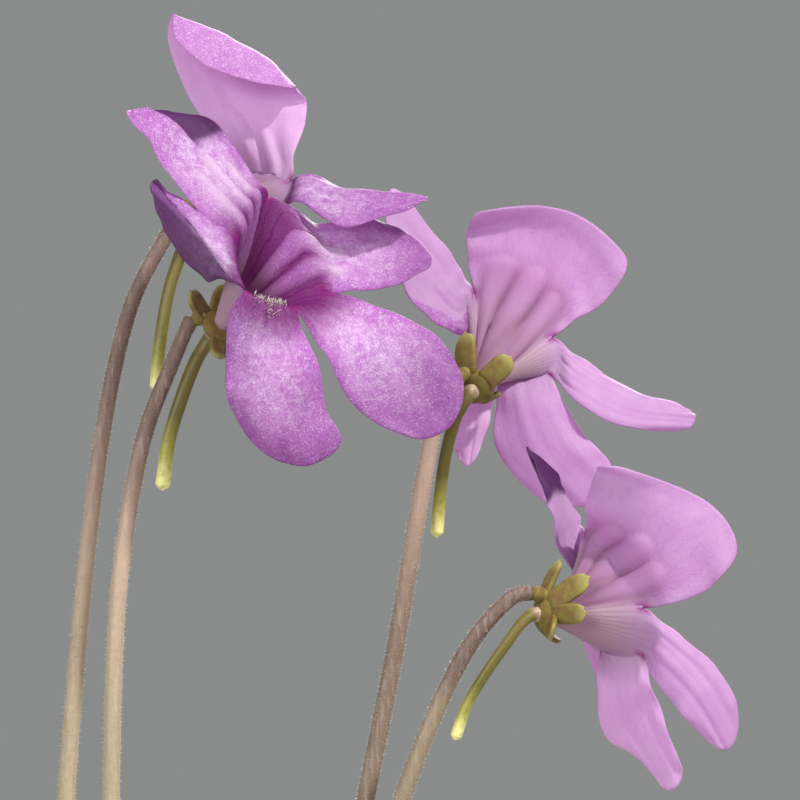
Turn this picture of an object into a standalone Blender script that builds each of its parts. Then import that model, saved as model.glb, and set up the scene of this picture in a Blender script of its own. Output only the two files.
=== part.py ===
# A butterwort in a plain clay pot: a flat rosette of fleshy leaves and four flowers on bare stalks.
# Lengths are in millimetres until they go into a mesh. The origin is the middle of the pot's underside.

import math

import bmesh
import bpy
import numpy as np

MM = 0.001
GAP = 0.3

# Pot and soil
POT_HEIGHT = 66.0
POT_RIM_RADIUS = 42.0
POT_BAND_HEIGHT = 14.0
POT_FOOT_RADIUS = 27.5
POT_WALL = 3.2
POT_FLOOR = 4.0
DRAIN_COUNT = 5
DRAIN_RADIUS = 3.0
DRAIN_RING = 16.0
DRAIN_START = math.radians(6.2)
SOIL_LEVEL = 61.5
SOIL_LUMP = 0.9

# Crown: the short upright stem that carries leaves and flower stalks
CROWN_RADIUS = 4.6
CROWN_TOP = 70.0
ROOT_RADIUS = 3.0
ROOT_END = 48.0
STALK_HOLE_RADIUS = 1.7
STALK_HOLE_DEPTH = 4.0
STALK_RING = 2.6

# Leaves, from the oldest and lowest to the youngest and steepest
LEAF_COUNT = 14
LEAF_TURN = 137.5
LEAF_LENGTH = (40.0, 17.0)
LEAF_WIDTH = (22.0, 9.0)
LEAF_RISE = (13.0, 54.0)
LEAF_FOOT = (63.2, 68.6)
LEAF_THICK = 0.9

# Flowers
PETAL_THICK = 0.62
TUBE_THICK = 0.76
NOTCH = 0.03
TUBE_FOOT_RADIUS = 0.7
COLLAR_RADIUS = 2.05
COLLAR_WALL = 0.6
COLLAR_LENGTH = 1.1
KNOB_RADIUS = 0.85
SEPAL_THICK = 0.6
PETAL_COLUMNS = 6

# One entry for each flower. "seat" is where its tube starts, in the plant's own frame, and
# "knob" is where its stalk meets the calyx. Each sepal has the place of its tip and a width.
# The other points are measured from the seat: five notches round the mouth, counted
# anticlockwise as the flower looks out, and for each lobe rows of left edge, midline
# and right edge that run from the mouth to the tip.
FLOWERS = {
    "a": {
        "seat": (-0.1, 3.5, 195.4),
        "tube": 1.8,
        "knob": (-2.3, -0.3, 1.1),
        "sepals": [((-0.3, 0.5, 3.6), 1.9), ((0.3, -3.9, 2.2), 1.9),
                   ((2.2, -2.1, -2.0), 1.7), ((1.7, 1.1, -1.3), 1.5),
                   ((-0.1, 2.5, 1.3), 1.6)],
        "mouth": [(3.6, 2.5, 4.1), (7.8, -2.5, 3.4), (7.1, -4.0, 1.1),
                  (4.6, -2.5, -0.6), (2.9, 1.5, 1.6)],
        "lobes": {
            "top": [
                ((1.3, 1.5, 7.4), (4.9, 1.0, 7.6), (8.4, -1.5, 6.1)),
                ((-2.1, 1.5, 12.1), (3.1, 1.5, 12.1), (9.5, -0.5, 9.4)),
                ((-4.2, 1.3, 17.8), (2.7, 2.0, 15.4), (9.5, -0.3, 11.5)),
                ((-3.7, -0.1, 20.3), (3.7, -0.1, 17.1), (8.7, -0.9, 13.0)),
                ((-3.2, -1.9, 17.8), (0.5, -2.9, 14.8), (7.5, -2.2, 13.0)),
            ],
            "right": [
                ((9.6, -4.5, 4.1), (9.6, -7.3, 2.6), (9.6, -9.3, 1.1)),
                ((14.3, -6.5, 2.8), (13.9, -9.5, 1.0), (13.9, -11.5, -1.2)),
                ((20.6, -8.5, 1.9), (21.8, -9.5, 1.7), (20.3, -10.5, 1.0)),
            ],
            "lower_mid": [
                ((8.3, -3.5, -2.4), (6.3, -2.5, -3.4), (4.3, -1.5, -2.9)),
                ((8.7, -2.5, -7.4), (6.3, -1.5, -8.4), (4.1, -0.5, -7.4)),
                ((8.1, -1.5, -11.9), (6.3, -1.5, -12.9), (4.6, -0.5, -11.9)),
            ],
            "lower_left": [
                ((3.6, 0.5, -2.4), (2.7, 2.5, -2.0), (2.1, 4.5, -0.4)),
                ((3.1, 3.5, -4.9), (1.9, 5.5, -4.6), (1.3, 7.5, -2.4)),
                ((2.9, 5.5, -7.4), (1.9, 6.5, -7.2), (1.3, 8.5, -5.4)),
            ],
            "back": [
                ((2.5, 4.5, 3.4), (2.3, 5.5, 5.0), (3.1, 6.0, 5.8)),
                ((1.7, 9.5, 6.1), (2.3, 10.5, 7.6), (3.7, 10.0, 8.2)),
                ((1.7, 12.5, 8.6), (2.9, 13.5, 9.8), (4.5, 12.5, 9.8)),
            ],
        },
    },
    "b": {
        "seat": (1.2, -4.5, 184.5),
        "tube": 2.0,
        "knob": (-2.7, 0.3, 0.7),
        "sepals": [((-3.1, -0.5, 3.4), 2.3), ((-0.3, -3.3, -3.3), 1.6),
                   ((3.0, -0.5, -1.5), 1.8), ((0.4, 1.5, 4.1), 1.9),
                   ((1.4, 4.7, 0.7), 1.7)],
        "mouth": [(4.6, -1.5, 12.5), (1.6, -6.5, 8.0), (2.6, -9.0, 3.3),
                  (7.0, -7.5, 1.7), (9.8, -4.0, 3.3)],
        "lobes": {
            "upper_left": [
                ((3.3, -1.5, 14.5), (1.4, -3.5, 12.9), (-1.0, -6.5, 10.5)),
                ((0.6, -0.5, 18.7), (-2.2, -2.0, 17.3), (-5.6, -5.5, 15.3)),
                ((-1.5, 0.3, 20.7), (-4.6, -0.7, 20.1), (-7.2, -4.1, 18.7)),
                ((-4.2, 0.5, 21.5), (-7.2, -0.5, 21.6), (-9.5, -2.5, 20.9)),
            ],
            "left": [
                ((-0.7, -6.5, 10.3), (0.3, -8.5, 6.3), (0.0, -7.5, 4.3)),
                ((-3.7, -5.5, 12.0), (-2.5, -8.0, 8.5), (-2.3, -4.5, 4.6)),
                ((-6.4, -4.5, 14.4), (-6.9, -5.5, 12.8), (-5.7, -3.5, 9.3)),
            ],
            "lower_mid": [
                ((1.0, -9.5, 1.0), (5.0, -9.0, -2.0), (8.3, -8.0, -1.0)),
                ((0.6, -8.5, -5.0), (5.4, -8.9, -6.7), (9.9, -7.5, -5.3)),
                ((1.4, -8.1, -9.1), (6.4, -8.3, -10.5), (10.5, -7.1, -8.6)),
                ((4.3, -7.5, -12.7), (8.4, -7.5, -14.0), (11.9, -7.9, -11.8)),
            ],
            "lower_right": [
                ((10.3, -8.0, -2.7), (12.8, -6.5, -1.0), (15.3, -4.5, 1.8)),
                ((13.3, -8.0, -8.0), (17.3, -7.0, -5.0), (20.8, -5.0, -0.7)),
                ((18.8, -8.0, -11.2), (22.8, -7.0, -10.0), (24.0, -6.0, -5.5)),
            ],
            "upper_right": [
                ((12.3, -3.5, 3.3), (10.8, -1.5, 7.0), (9.2, 0.3, 10.1)),
                ((16.8, -2.5, 3.9), (16.3, -0.5, 7.3), (13.3, 1.0, 10.8)),
                ((20.3, -1.5, 5.5), (20.6, -0.5, 7.3), (17.6, 0.5, 9.7)),
            ],
        },
    },
    "c": {
        "seat": (26.8, 3.5, 178.6),
        "tube": 1.8,
        "knob": (-2.3, -2.5, 0.6),
        "sepals": [((3.4, -0.9, 2.7), 2.1), ((-1.2, 0.7, 5.2), 2.4),
                   ((1.6, 1.3, -0.5), 1.5), ((-2.8, 3.1, 2.8), 1.8),
                   ((-0.4, 2.7, -0.8), 1.7)],
        "mouth": [(-0.2, 7.5, 8.9), (7.4, 6.0, 4.6), (7.1, 5.5, 1.2),
                  (2.8, 5.0, 1.4), (-0.4, 5.5, 4.9)],
        "lobes": {
            "top": [
                ((-0.8, 8.5, 12.2), (6.2, 9.0, 11.2), (10.2, 7.5, 6.7)),
                ((-0.8, 8.0, 15.4), (7.7, 9.0, 15.2), (13.2, 7.5, 8.7)),
                ((0.8, 7.0, 17.7), (9.2, 8.0, 17.6), (15.0, 7.0, 12.8)),
            ],
            "right": [
                ((10.7, 5.5, 2.4), (10.2, 4.0, 0.6), (10.5, 2.5, -2.1)),
                ((16.0, 5.0, -0.6), (15.8, 3.5, -2.4), (15.2, 2.5, -4.3)),
                ((21.2, 5.5, -2.5), (22.1, 5.0, -3.3), (20.8, 4.5, -4.6)),
            ],
            "lower_mid": [
                ((8.6, 4.0, -1.9), (5.2, 3.0, -1.6), (2.0, 3.5, -1.4)),
                ((11.5, 3.5, -5.9), (7.0, 2.8, -6.8), (2.2, 3.5, -6.8)),
                ((13.5, 3.5, -8.6), (11.2, 3.3, -12.1), (6.7, 3.5, -11.8)),
            ],
            "lower_left": [
                ((1.9, 4.3, -0.4), (0.4, 4.1, -0.8), (-1.1, 5.1, -1.4)),
                ((1.2, 3.9, -3.6), (-0.6, 3.7, -4.1), (-2.3, 4.5, -4.0)),
                ((0.0, 3.5, -7.1), (-1.1, 3.5, -8.2), (-2.1, 3.9, -6.8)),
            ],
            "left": [
                ((-1.6, 5.5, 5.0), (-2.3, 5.5, 7.9), (-1.6, 8.5, 11.4)),
                ((-4.6, 3.0, 6.2), (-5.0, 6.5, 10.9), (-3.8, 8.5, 14.7)),
                ((-7.4, 2.5, 9.8), (-9.0, 5.5, 15.2), (-8.5, 8.0, 19.8)),
            ],
        },
    },
    "d": {
        "seat": (33.9, -5.0, 155.7),
        "tube": 2.1,
        "knob": (-1.6, -1.2, 2.1),
        "sepals": [((4.0, -2.2, 3.7), 2.3), ((1.1, 1.0, 5.3), 1.7),
                   ((3.7, -3.2, 0.1), 1.8), ((0.1, -3.6, -2.0), 2.0),
                   ((1.1, 2.4, -2.7), 1.6)],
        "mouth": [(3.6, 6.0, 7.6), (9.1, -2.0, 0.6), (9.1, 0.0, -3.9),
                  (5.1, 5.0, -3.5), (4.5, 9.0, 0.8)],
        "lobes": {
            "top": [
                ((3.8, 3.0, 10.1), (9.1, -1.0, 6.8), (12.7, -3.5, 1.3)),
                ((4.5, 0.5, 13.5), (11.9, -2.5, 10.1), (16.3, -4.0, 3.1)),
                ((6.3, -1.0, 14.8), (15.3, -3.0, 11.3), (18.5, -4.0, 6.8)),
            ],
            "lower_right": [
                ((12.3, -3.0, -1.8), (11.3, -3.5, -3.5), (10.6, -3.0, -6.7)),
                ((16.5, -3.5, -5.2), (14.9, -4.0, -7.7), (13.1, -3.5, -9.8)),
                ((18.7, -3.0, -10.2), (17.8, -3.5, -13.3), (15.7, -3.5, -12.6)),
            ],
            "lower_mid": [
                ((10.1, 0.0, -7.1), (7.4, 1.0, -7.7), (4.8, 2.0, -7.5)),
                ((11.7, 1.0, -11.5), (8.7, 2.0, -11.7), (5.7, 3.0, -12.2)),
                ((13.3, 2.0, -15.9), (11.9, 2.5, -17.7), (9.7, 3.0, -15.3)),
            ],
            "back": [
                ((5.1, 9.0, -4.2), (4.1, 10.0, -3.2), (3.6, 12.0, -1.2)),
                ((6.3, 12.0, -7.7), (5.3, 14.0, -6.7), (4.1, 15.0, -3.7)),
                ((7.6, 14.5, -10.2), (6.9, 16.0, -10.2), (5.6, 16.5, -8.2)),
            ],
            "left": [
                ((1.6, 4.5, 5.7), (2.4, 7.5, 7.1), (3.2, 10.0, 8.8)),
                ((-0.1, 3.0, 10.5), (0.7, 6.5, 11.3), (1.9, 9.5, 11.5)),
                ((-1.4, 3.5, 14.3), (-2.4, 6.0, 16.4), (0.1, 8.8, 13.9)),
            ],
        },
    },
}

# Flower stalks: points on the way from the crown up to the calyx, then thickness at foot and top
STALKS = {
    "a": {
        "way": [(-5.6, 2.6, 80.0), (-10.8, 3.0, 95.0), (-14.6, 3.0, 115.0), (-14.8, 3.0, 132.0),
                (-13.5, 3.0, 151.1), (-11.2, 3.0, 172.0), (-8.4, 3.2, 185.5), (-4.6, 3.6, 193.4)],
        "hole": 140.0,
        "radius": (1.1, 0.68),
    },
    "b": {
        "way": [(-3.6, -3.0, 80.0), (-7.0, -3.8, 95.0), (-9.7, -4.0, 115.0), (-9.9, -4.0, 135.0),
                (-9.2, -4.0, 157.0), (-6.9, -4.0, 172.0), (-3.6, -4.0, 181.0)],
        "hole": 229.0,
        "radius": (1.1, 0.72),
    },
    "c": {
        "way": [(4.6, 2.6, 80.0), (8.2, 2.9, 100.0), (12.2, 3.0, 120.0), (15.6, 3.0, 137.0),
                (18.6, 3.0, 152.5), (20.7, 1.8, 165.0), (22.5, 0.7, 174.6)],
        "hole": 47.0,
        "radius": (1.05, 0.8),
    },
    "d": {
        "way": [(3.9, -3.2, 80.0), (8.0, -4.2, 98.0), (13.6, -4.9, 120.0), (19.0, -5.6, 136.6),
                (22.6, -6.0, 146.0), (26.1, -6.2, 152.8), (29.8, -6.3, 157.0)],
        "hole": 322.0,
        "radius": (1.05, 0.72),
    },
}

# Spurs: points down to the blunt tip, then thickness where it leaves the collar and at the tip
SPURS = {
    "a": {"way": [(-2.4, 4.9, 193.4), (-3.3, 4.4, 191.2), (-4.4, 3.6, 187.4), (-5.3, 2.9, 181.7),
                 (-5.5, 2.6, 178.4)], "radius": (0.9, 0.64)},
    "b": {"way": [(-0.7, -3.2, 182.1), (-1.5, -3.6, 180.6), (-2.8, -4.4, 177.2), (-4.1, -4.6, 173.0),
                 (-4.7, -4.5, 168.6)], "radius": (1.0, 0.7)},
    "c": {"way": [(25.3, 1.9, 176.5), (24.5, 2.7, 174.8), (23.6, 3.7, 171.4), (23.0, 4.3, 167.4),
                 (22.7, 4.6, 163.7)], "radius": (0.95, 0.62)},
    "d": {"way": [(31.0, -6.6, 154.6), (29.8, -6.9, 153.0), (27.8, -7.2, 150.2), (25.7, -7.4, 146.7),
                 (24.6, -7.4, 143.6)], "radius": (0.9, 0.54)},
}

CLAY = ("clay", (0.50, 0.20, 0.11), 0.85)
EARTH = ("earth", (0.055, 0.038, 0.026), 0.95)
STEM_GREEN = ("stem green", (0.33, 0.36, 0.15), 0.6)
LEAF_GREEN = ("leaf green", (0.33, 0.45, 0.12), 0.4)
STALK_PINK = ("stalk pink", (0.48, 0.32, 0.24), 0.6)
SEPAL_GREEN = ("sepal green", (0.22, 0.22, 0.05), 0.5)
PETAL_LILAC = ("petal lilac", (0.58, 0.21, 0.60), 0.5)
SPUR_GREEN = ("spur green", (0.38, 0.36, 0.07), 0.5)


def clear_scene():
    for item in list(bpy.data.objects):
        bpy.data.objects.remove(item, do_unlink=True)


def material(look):
    name, colour, roughness = look
    found = bpy.data.materials.get(name)
    if found:
        return found
    made = bpy.data.materials.new(name)
    made.use_nodes = True
    shader = made.node_tree.nodes["Principled BSDF"]
    shader.inputs["Base Color"].default_value = (*colour, 1.0)
    shader.inputs["Roughness"].default_value = roughness
    shader.inputs["Metallic"].default_value = 0.0
    return made


def add_object(name, mesh, look, at=(0.0, 0.0, 0.0)):
    mesh.materials.append(material(look))
    made = bpy.data.objects.new(name, mesh)
    made.location = [value * MM for value in at]
    made.parent = plant
    bpy.context.scene.collection.objects.link(made)
    mesh.shade_smooth()
    mesh.set_sharp_from_angle(angle=math.radians(50))
    return made


def mesh_from(name, points, faces):
    mesh = bpy.data.meshes.new(name)
    mesh.from_pydata([tuple(float(c) * MM for c in p) for p in points], [], faces)
    made = bmesh.new()
    made.from_mesh(mesh)
    bmesh.ops.recalc_face_normals(made, faces=made.faces)
    made.to_mesh(mesh)
    made.free()
    return mesh


def unit(vector):
    vector = np.asarray(vector, float)
    return vector / np.maximum(np.linalg.norm(vector, axis=-1, keepdims=True), 1e-9)


def smooth(value):
    value = np.clip(value, 0.0, 1.0)
    return value * value * (3.0 - 2.0 * value)


def spline(points, where):
    """A smooth curve through points; where runs from 0 at the first to n - 1 at the last."""
    p = np.asarray(points, float)
    n = len(p)
    ends = np.concatenate([[2 * p[0] - p[1]], p, [2 * p[-1] - p[-2]]])
    where = np.asarray(where, float)
    i = np.clip(np.floor(where).astype(int), 0, n - 2)
    u = (where - i).reshape(where.shape + (1,) * (p.ndim - 1))
    a, b, c, d = ends[i], ends[i + 1], ends[i + 2], ends[i + 3]
    curve = 2 * b + (c - a) * u + (2 * a - 5 * b + 4 * c - d) * u**2
    return 0.5 * (curve + (3 * b - a - 3 * c + d) * u**3)


def sheet_normals(grid, ring=False):
    """Normals of a grid of points; ring says that its last column meets its first."""
    if ring:
        wrapped = np.concatenate([grid[:, -2:-1], grid, grid[:, 1:2]], axis=1)
        across = np.gradient(wrapped, axis=1)[:, 1:-1]
    else:
        across = np.gradient(grid, axis=1)
    return unit(np.cross(np.gradient(grid, axis=0), across))


def blade(name, grid, thick):
    """A closed blade round a grid: both faces are split along the same diagonals."""
    rows, columns = grid.shape[:2]
    half = sheet_normals(grid) * (thick / 2)
    points = list((grid + half).reshape(-1, 3)) + list((grid - half).reshape(-1, 3))
    under = rows * columns
    faces = []
    for i in range(rows - 1):
        for j in range(columns - 1):
            a = i * columns + j
            b, c, d = a + 1, a + columns + 1, a + columns
            for one, two, three in ((a, b, c), (a, c, d)):
                faces.append((one, two, three))
                faces.append((three + under, two + under, one + under))
    edge = [j for j in range(columns)]
    edge += [i * columns + columns - 1 for i in range(1, rows)]
    edge += [(rows - 1) * columns + j for j in range(columns - 2, -1, -1)]
    edge += [i * columns for i in range(rows - 2, 0, -1)]
    for one, two in zip(edge, edge[1:] + edge[:1]):
        faces.append((two, one, one + under))
        faces.append((two, one + under, two + under))
    return mesh_from(name, points, faces)


def turned(name, profile, sides, centre=(0.0, 0.0), bumps=None):
    """A solid of revolution about +Z from (radius, height) pairs, pole to pole."""
    points, rings = [], []
    for index, (radius, height) in enumerate(profile):
        if radius < 1e-6:
            rings.append([len(points)])
            points.append((centre[0], centre[1], height))
            continue
        ring = []
        for k in range(sides):
            angle = 2 * math.pi * k / sides
            lift = bumps(index, radius, angle) if bumps else 0.0
            ring.append(len(points))
            points.append((centre[0] + radius * math.cos(angle),
                           centre[1] + radius * math.sin(angle), height + lift))
        rings.append(ring)
    faces = []
    for low, high in zip(rings[:-1], rings[1:]):
        for k in range(sides):
            n = (k + 1) % sides
            if len(low) == 1:
                faces.append((low[0], high[n], high[k]))
            elif len(high) == 1:
                faces.append((low[k], low[n], high[0]))
            else:
                faces.append((low[k], low[n], high[n], high[k]))
    return mesh_from(name, points, faces)


def rod(name, points, radii, sides):
    """A round rod along points with domed ends; radii has one value for each point."""
    points = np.asarray(points, float)
    along = unit(np.gradient(points, axis=0))
    side = unit(np.cross(along[0], (0.0, 1.0, 0.2)))
    rings, verts = [], []
    places = [(points[0] - along[0] * radii[0] * 0.5, radii[0] * 0.6, 0)]
    places += [(points[i], radii[i], i) for i in range(len(points))]
    places += [(points[-1] + along[-1] * radii[-1] * 0.5, radii[-1] * 0.6, len(points) - 1)]
    for place, radius, i in places:
        side = unit(side - (side @ along[i]) * along[i])
        other = np.cross(along[i], side)
        rings.append([len(verts) + k for k in range(sides)])
        for k in range(sides):
            angle = 2 * math.pi * k / sides
            verts.append(place + radius * (math.cos(angle) * side + math.sin(angle) * other))
    faces = [tuple(reversed(rings[0])), tuple(rings[-1])]
    for low, high in zip(rings[:-1], rings[1:]):
        for k in range(sides):
            n = (k + 1) % sides
            faces.append((low[k], low[n], high[n], high[k]))
    return mesh_from(name, verts, faces)


def fuse(base, others):
    """Join the other objects to the base as one body, then remove them."""
    group = bpy.data.collections.new(base.name + " pieces")
    bpy.context.scene.collection.children.link(group)
    for other in others:
        group.objects.link(other)
    join = base.modifiers.new("join", "BOOLEAN")
    join.operation = "UNION"
    join.operand_type = "COLLECTION"
    join.collection = group
    join.solver = "MANIFOLD"
    apply_modifiers(base)
    for other in others:
        bpy.data.objects.remove(other, do_unlink=True)
    bpy.data.collections.remove(group)


def apply_modifiers(thing):
    graph = bpy.context.evaluated_depsgraph_get()
    solid = bpy.data.meshes.new_from_object(thing.evaluated_get(graph), depsgraph=graph)
    thing.modifiers.clear()
    keep_outer_skin(solid)
    thing.data = solid


def keep_outer_skin(mesh):
    """Fill hollows that the join closed and drop loose scraps: only the largest skin stays."""
    made = bmesh.new()
    made.from_mesh(mesh)
    left = set(made.faces)
    skins = []
    while left:
        stack = [left.pop()]
        skin = []
        while stack:
            face = stack.pop()
            skin.append(face)
            for edge in face.edges:
                for other in edge.link_faces:
                    if other in left:
                        left.discard(other)
                        stack.append(other)
        skins.append(skin)
    skins.sort(key=lambda skin: sum(face.calc_area() for face in skin))
    for skin in skins[:-1]:
        bmesh.ops.delete(made, geom=skin, context="FACES")
    made.to_mesh(mesh)
    made.free()


# Pot and soil

def build_pot():
    band_foot = POT_HEIGHT - POT_BAND_HEIGHT
    neck = POT_RIM_RADIUS - 3.0
    inner_top = POT_RIM_RADIUS - POT_WALL - 0.6
    inner_foot = POT_FOOT_RADIUS - POT_WALL
    profile = [
        (0.0, 0.0), (POT_FOOT_RADIUS - 1.0, 0.0), (POT_FOOT_RADIUS, 1.0),
        (neck, band_foot), (POT_RIM_RADIUS - 0.6, band_foot + 0.4), (POT_RIM_RADIUS, band_foot + 1.4),
        (POT_RIM_RADIUS, POT_HEIGHT - 1.2), (POT_RIM_RADIUS - 1.2, POT_HEIGHT),
        (inner_top + 1.0, POT_HEIGHT), (inner_top, POT_HEIGHT - 1.0),
        (inner_foot, POT_FLOOR), (0.0, POT_FLOOR),
    ]
    pot = add_object("pot", turned("pot", profile, 36), CLAY)
    for k in range(DRAIN_COUNT):
        angle = 2 * math.pi * k / DRAIN_COUNT + DRAIN_START
        at = (DRAIN_RING * math.cos(angle), DRAIN_RING * math.sin(angle))
        drill = turned("drill", [(0.0, -2.0), (DRAIN_RADIUS, -2.0),
                                 (DRAIN_RADIUS, POT_FLOOR + 2.0), (0.0, POT_FLOOR + 2.0)], 10, at)
        cutter = bpy.data.objects.new(f"drill_{k + 1}", drill)
        cutter.hide_render = True
        cutter.display_type = "WIRE"
        cutter.parent = plant
        bpy.context.scene.collection.objects.link(cutter)
        cut = pot.modifiers.new(f"drain {k + 1}", "BOOLEAN")
        cut.operation = "DIFFERENCE"
        cut.object = cutter
    return pot


def pot_inner_radius(height):
    low = POT_FOOT_RADIUS - POT_WALL
    high = POT_RIM_RADIUS - POT_WALL - 0.6
    share = (height - POT_FLOOR) / (POT_HEIGHT - 1.0 - POT_FLOOR)
    return low + (high - low) * share


def build_soil():
    rng = np.random.default_rng(11)
    waves = rng.uniform(0.0, 2 * math.pi, 6)
    foot = POT_FLOOR + GAP
    edge = pot_inner_radius(SOIL_LEVEL) - 2 * GAP
    base = pot_inner_radius(foot) - 2 * GAP

    def lumps(index, radius, angle):
        if index < 2 or radius < 8.0:
            return 0.0
        x, y = radius * math.cos(angle), radius * math.sin(angle)
        lift = math.sin(x * 0.42 + waves[0]) * math.cos(y * 0.37 + waves[1])
        lift += 0.6 * math.sin(x * 0.8 + y * 0.7 + waves[2])
        lift += 0.5 * math.cos(y * 0.95 - x * 0.5 + waves[3])
        return SOIL_LUMP * 0.5 * lift

    profile = [(0.0, foot), (base, foot), (edge, SOIL_LEVEL), (edge * 0.82, SOIL_LEVEL + 0.3),
               (edge * 0.6, SOIL_LEVEL), (edge * 0.38, SOIL_LEVEL), (ROOT_RADIUS + 2 * GAP, SOIL_LEVEL),
               (ROOT_RADIUS + 2 * GAP, ROOT_END - 1.0), (0.0, ROOT_END - 1.0)]
    add_object("soil", turned("soil", profile, 36, bumps=lumps), EARTH)


def build_crown():
    shoulder = SOIL_LEVEL + GAP
    profile = [(0.0, ROOT_END), (ROOT_RADIUS * 0.7, ROOT_END), (ROOT_RADIUS, ROOT_END + 2.0),
               (ROOT_RADIUS, shoulder), (CROWN_RADIUS, shoulder), (CROWN_RADIUS, CROWN_TOP - 0.6),
               (CROWN_RADIUS - 0.6, CROWN_TOP), (0.0, CROWN_TOP + 0.2)]
    crown = add_object("crown", turned("crown", profile, 20), STEM_GREEN)
    for key, stalk in STALKS.items():
        angle = math.radians(stalk["hole"])
        at = (STALK_RING * math.cos(angle), STALK_RING * math.sin(angle))
        low, high = CROWN_TOP - STALK_HOLE_DEPTH, CROWN_TOP + 2.0
        hole = [(0.0, low), (STALK_HOLE_RADIUS, low), (STALK_HOLE_RADIUS, high), (0.0, high)]
        drill = turned("drill", hole, 10, at)
        cutter = bpy.data.objects.new(f"stalk_drill_{key}", drill)
        cutter.hide_render = True
        cutter.display_type = "WIRE"
        cutter.parent = plant
        bpy.context.scene.collection.objects.link(cutter)
        cut = crown.modifiers.new(f"hole {key}", "BOOLEAN")
        cut.operation = "DIFFERENCE"
        cut.object = cutter


# Leaves

def leaf_grid(index, rows=8, columns=6):
    """Middle sheet of one leaf: a narrow foot, a broad blade with upturned edges, a round tip."""
    age = index / (LEAF_COUNT - 1)
    rng = np.random.default_rng(100 + index)
    length = LEAF_LENGTH[0] + (LEAF_LENGTH[1] - LEAF_LENGTH[0]) * age + rng.uniform(-1.2, 1.2)
    width = LEAF_WIDTH[0] + (LEAF_WIDTH[1] - LEAF_WIDTH[0]) * age + rng.uniform(-0.6, 0.6)
    rise = math.radians(LEAF_RISE[0] + (LEAF_RISE[1] - LEAF_RISE[0]) * age)
    foot = LEAF_FOOT[0] + (LEAF_FOOT[1] - LEAF_FOOT[0]) * age
    turn = math.radians(LEAF_TURN * index + rng.uniform(-3.0, 3.0))
    droop = math.radians(16.0 - 4.0 * age)
    t = np.linspace(0.0, 1.0, rows + 1)[:, None]
    v = np.linspace(-1.0, 1.0, columns + 1)[None, :]
    s = (1.0 - (1.0 - t) ** 1.25) * (1.0 - 0.13 * v**2 * t**2)
    slope = rise + droop * (0.6 - 1.5 * s)
    step = length * s
    out = CROWN_RADIUS + GAP + LEAF_THICK / 2 + 0.15 + step * np.cos((rise + slope) / 2)
    up = foot + LEAF_THICK / 2 + step * np.sin((rise + slope) / 2)
    swell = smooth(s / 0.62)
    tip = np.clip((s - 0.6) / 0.4, 0.0, 1.0) ** 2.2
    half = width / 2 * (0.24 + 0.76 * swell) * np.sqrt(1.0 - 0.86 * tip)
    waves = rng.uniform(0.0, 2 * math.pi, 2)
    cup = width * 0.10 * v**2 * smooth(s / 0.4) + 0.35 * width * 0.1 * v**4
    cup = cup + 0.35 * v**2 * np.sin(5.2 * s + waves[0] + v) * smooth(s / 0.3)
    clasp = CROWN_RADIUS + GAP + LEAF_THICK / 2
    bow = (clasp - np.sqrt(clasp**2 - (v * width * 0.12) ** 2)) * (1 - smooth(s / 0.25))
    x = out - bow - cup * np.sin(slope)
    z = up + cup * np.cos(slope)
    y = v * half
    across = x * math.cos(turn) - y * math.sin(turn)
    away = x * math.sin(turn) + y * math.cos(turn)
    return np.stack([across, away, z], axis=-1)


def build_leaves():
    for index in range(LEAF_COUNT):
        name = f"leaf_{index + 1:02d}"
        add_object(name, blade(name, leaf_grid(index), LEAF_THICK), LEAF_GREEN)


# Flowers

def flower_axis(flower):
    return unit(np.mean(np.asarray(flower["mouth"]), axis=0))


def mouth_ring(flower, columns):
    """The mouth's closed curve through its five notches; the last point equals the first."""
    notches = np.asarray(flower["mouth"], float)
    looped = np.concatenate([notches[-1:], notches, notches[:2]])
    return spline(looped, 1.0 + np.arange(5 * columns + 1) / columns)


def tube_grid(flower, rows=2, columns=PETAL_COLUMNS):
    """The tube flares from a narrow foot inside the calyx to the mouth's ring."""
    ring = mouth_ring(flower, columns)
    axis = flower_axis(flower)
    radial = unit(ring - (ring @ axis)[:, None] * axis)
    length = np.linalg.norm(np.mean(flower["mouth"], axis=0))
    foot = radial * TUBE_FOOT_RADIUS
    knee = radial * flower["tube"] * 1.25 + axis * length * 0.55
    t = np.linspace(0.0, 1.0, rows + 1)[:, None, None]
    return foot * (1 - t) ** 2 + 2 * knee * t * (1 - t) + ring * t**2


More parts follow.
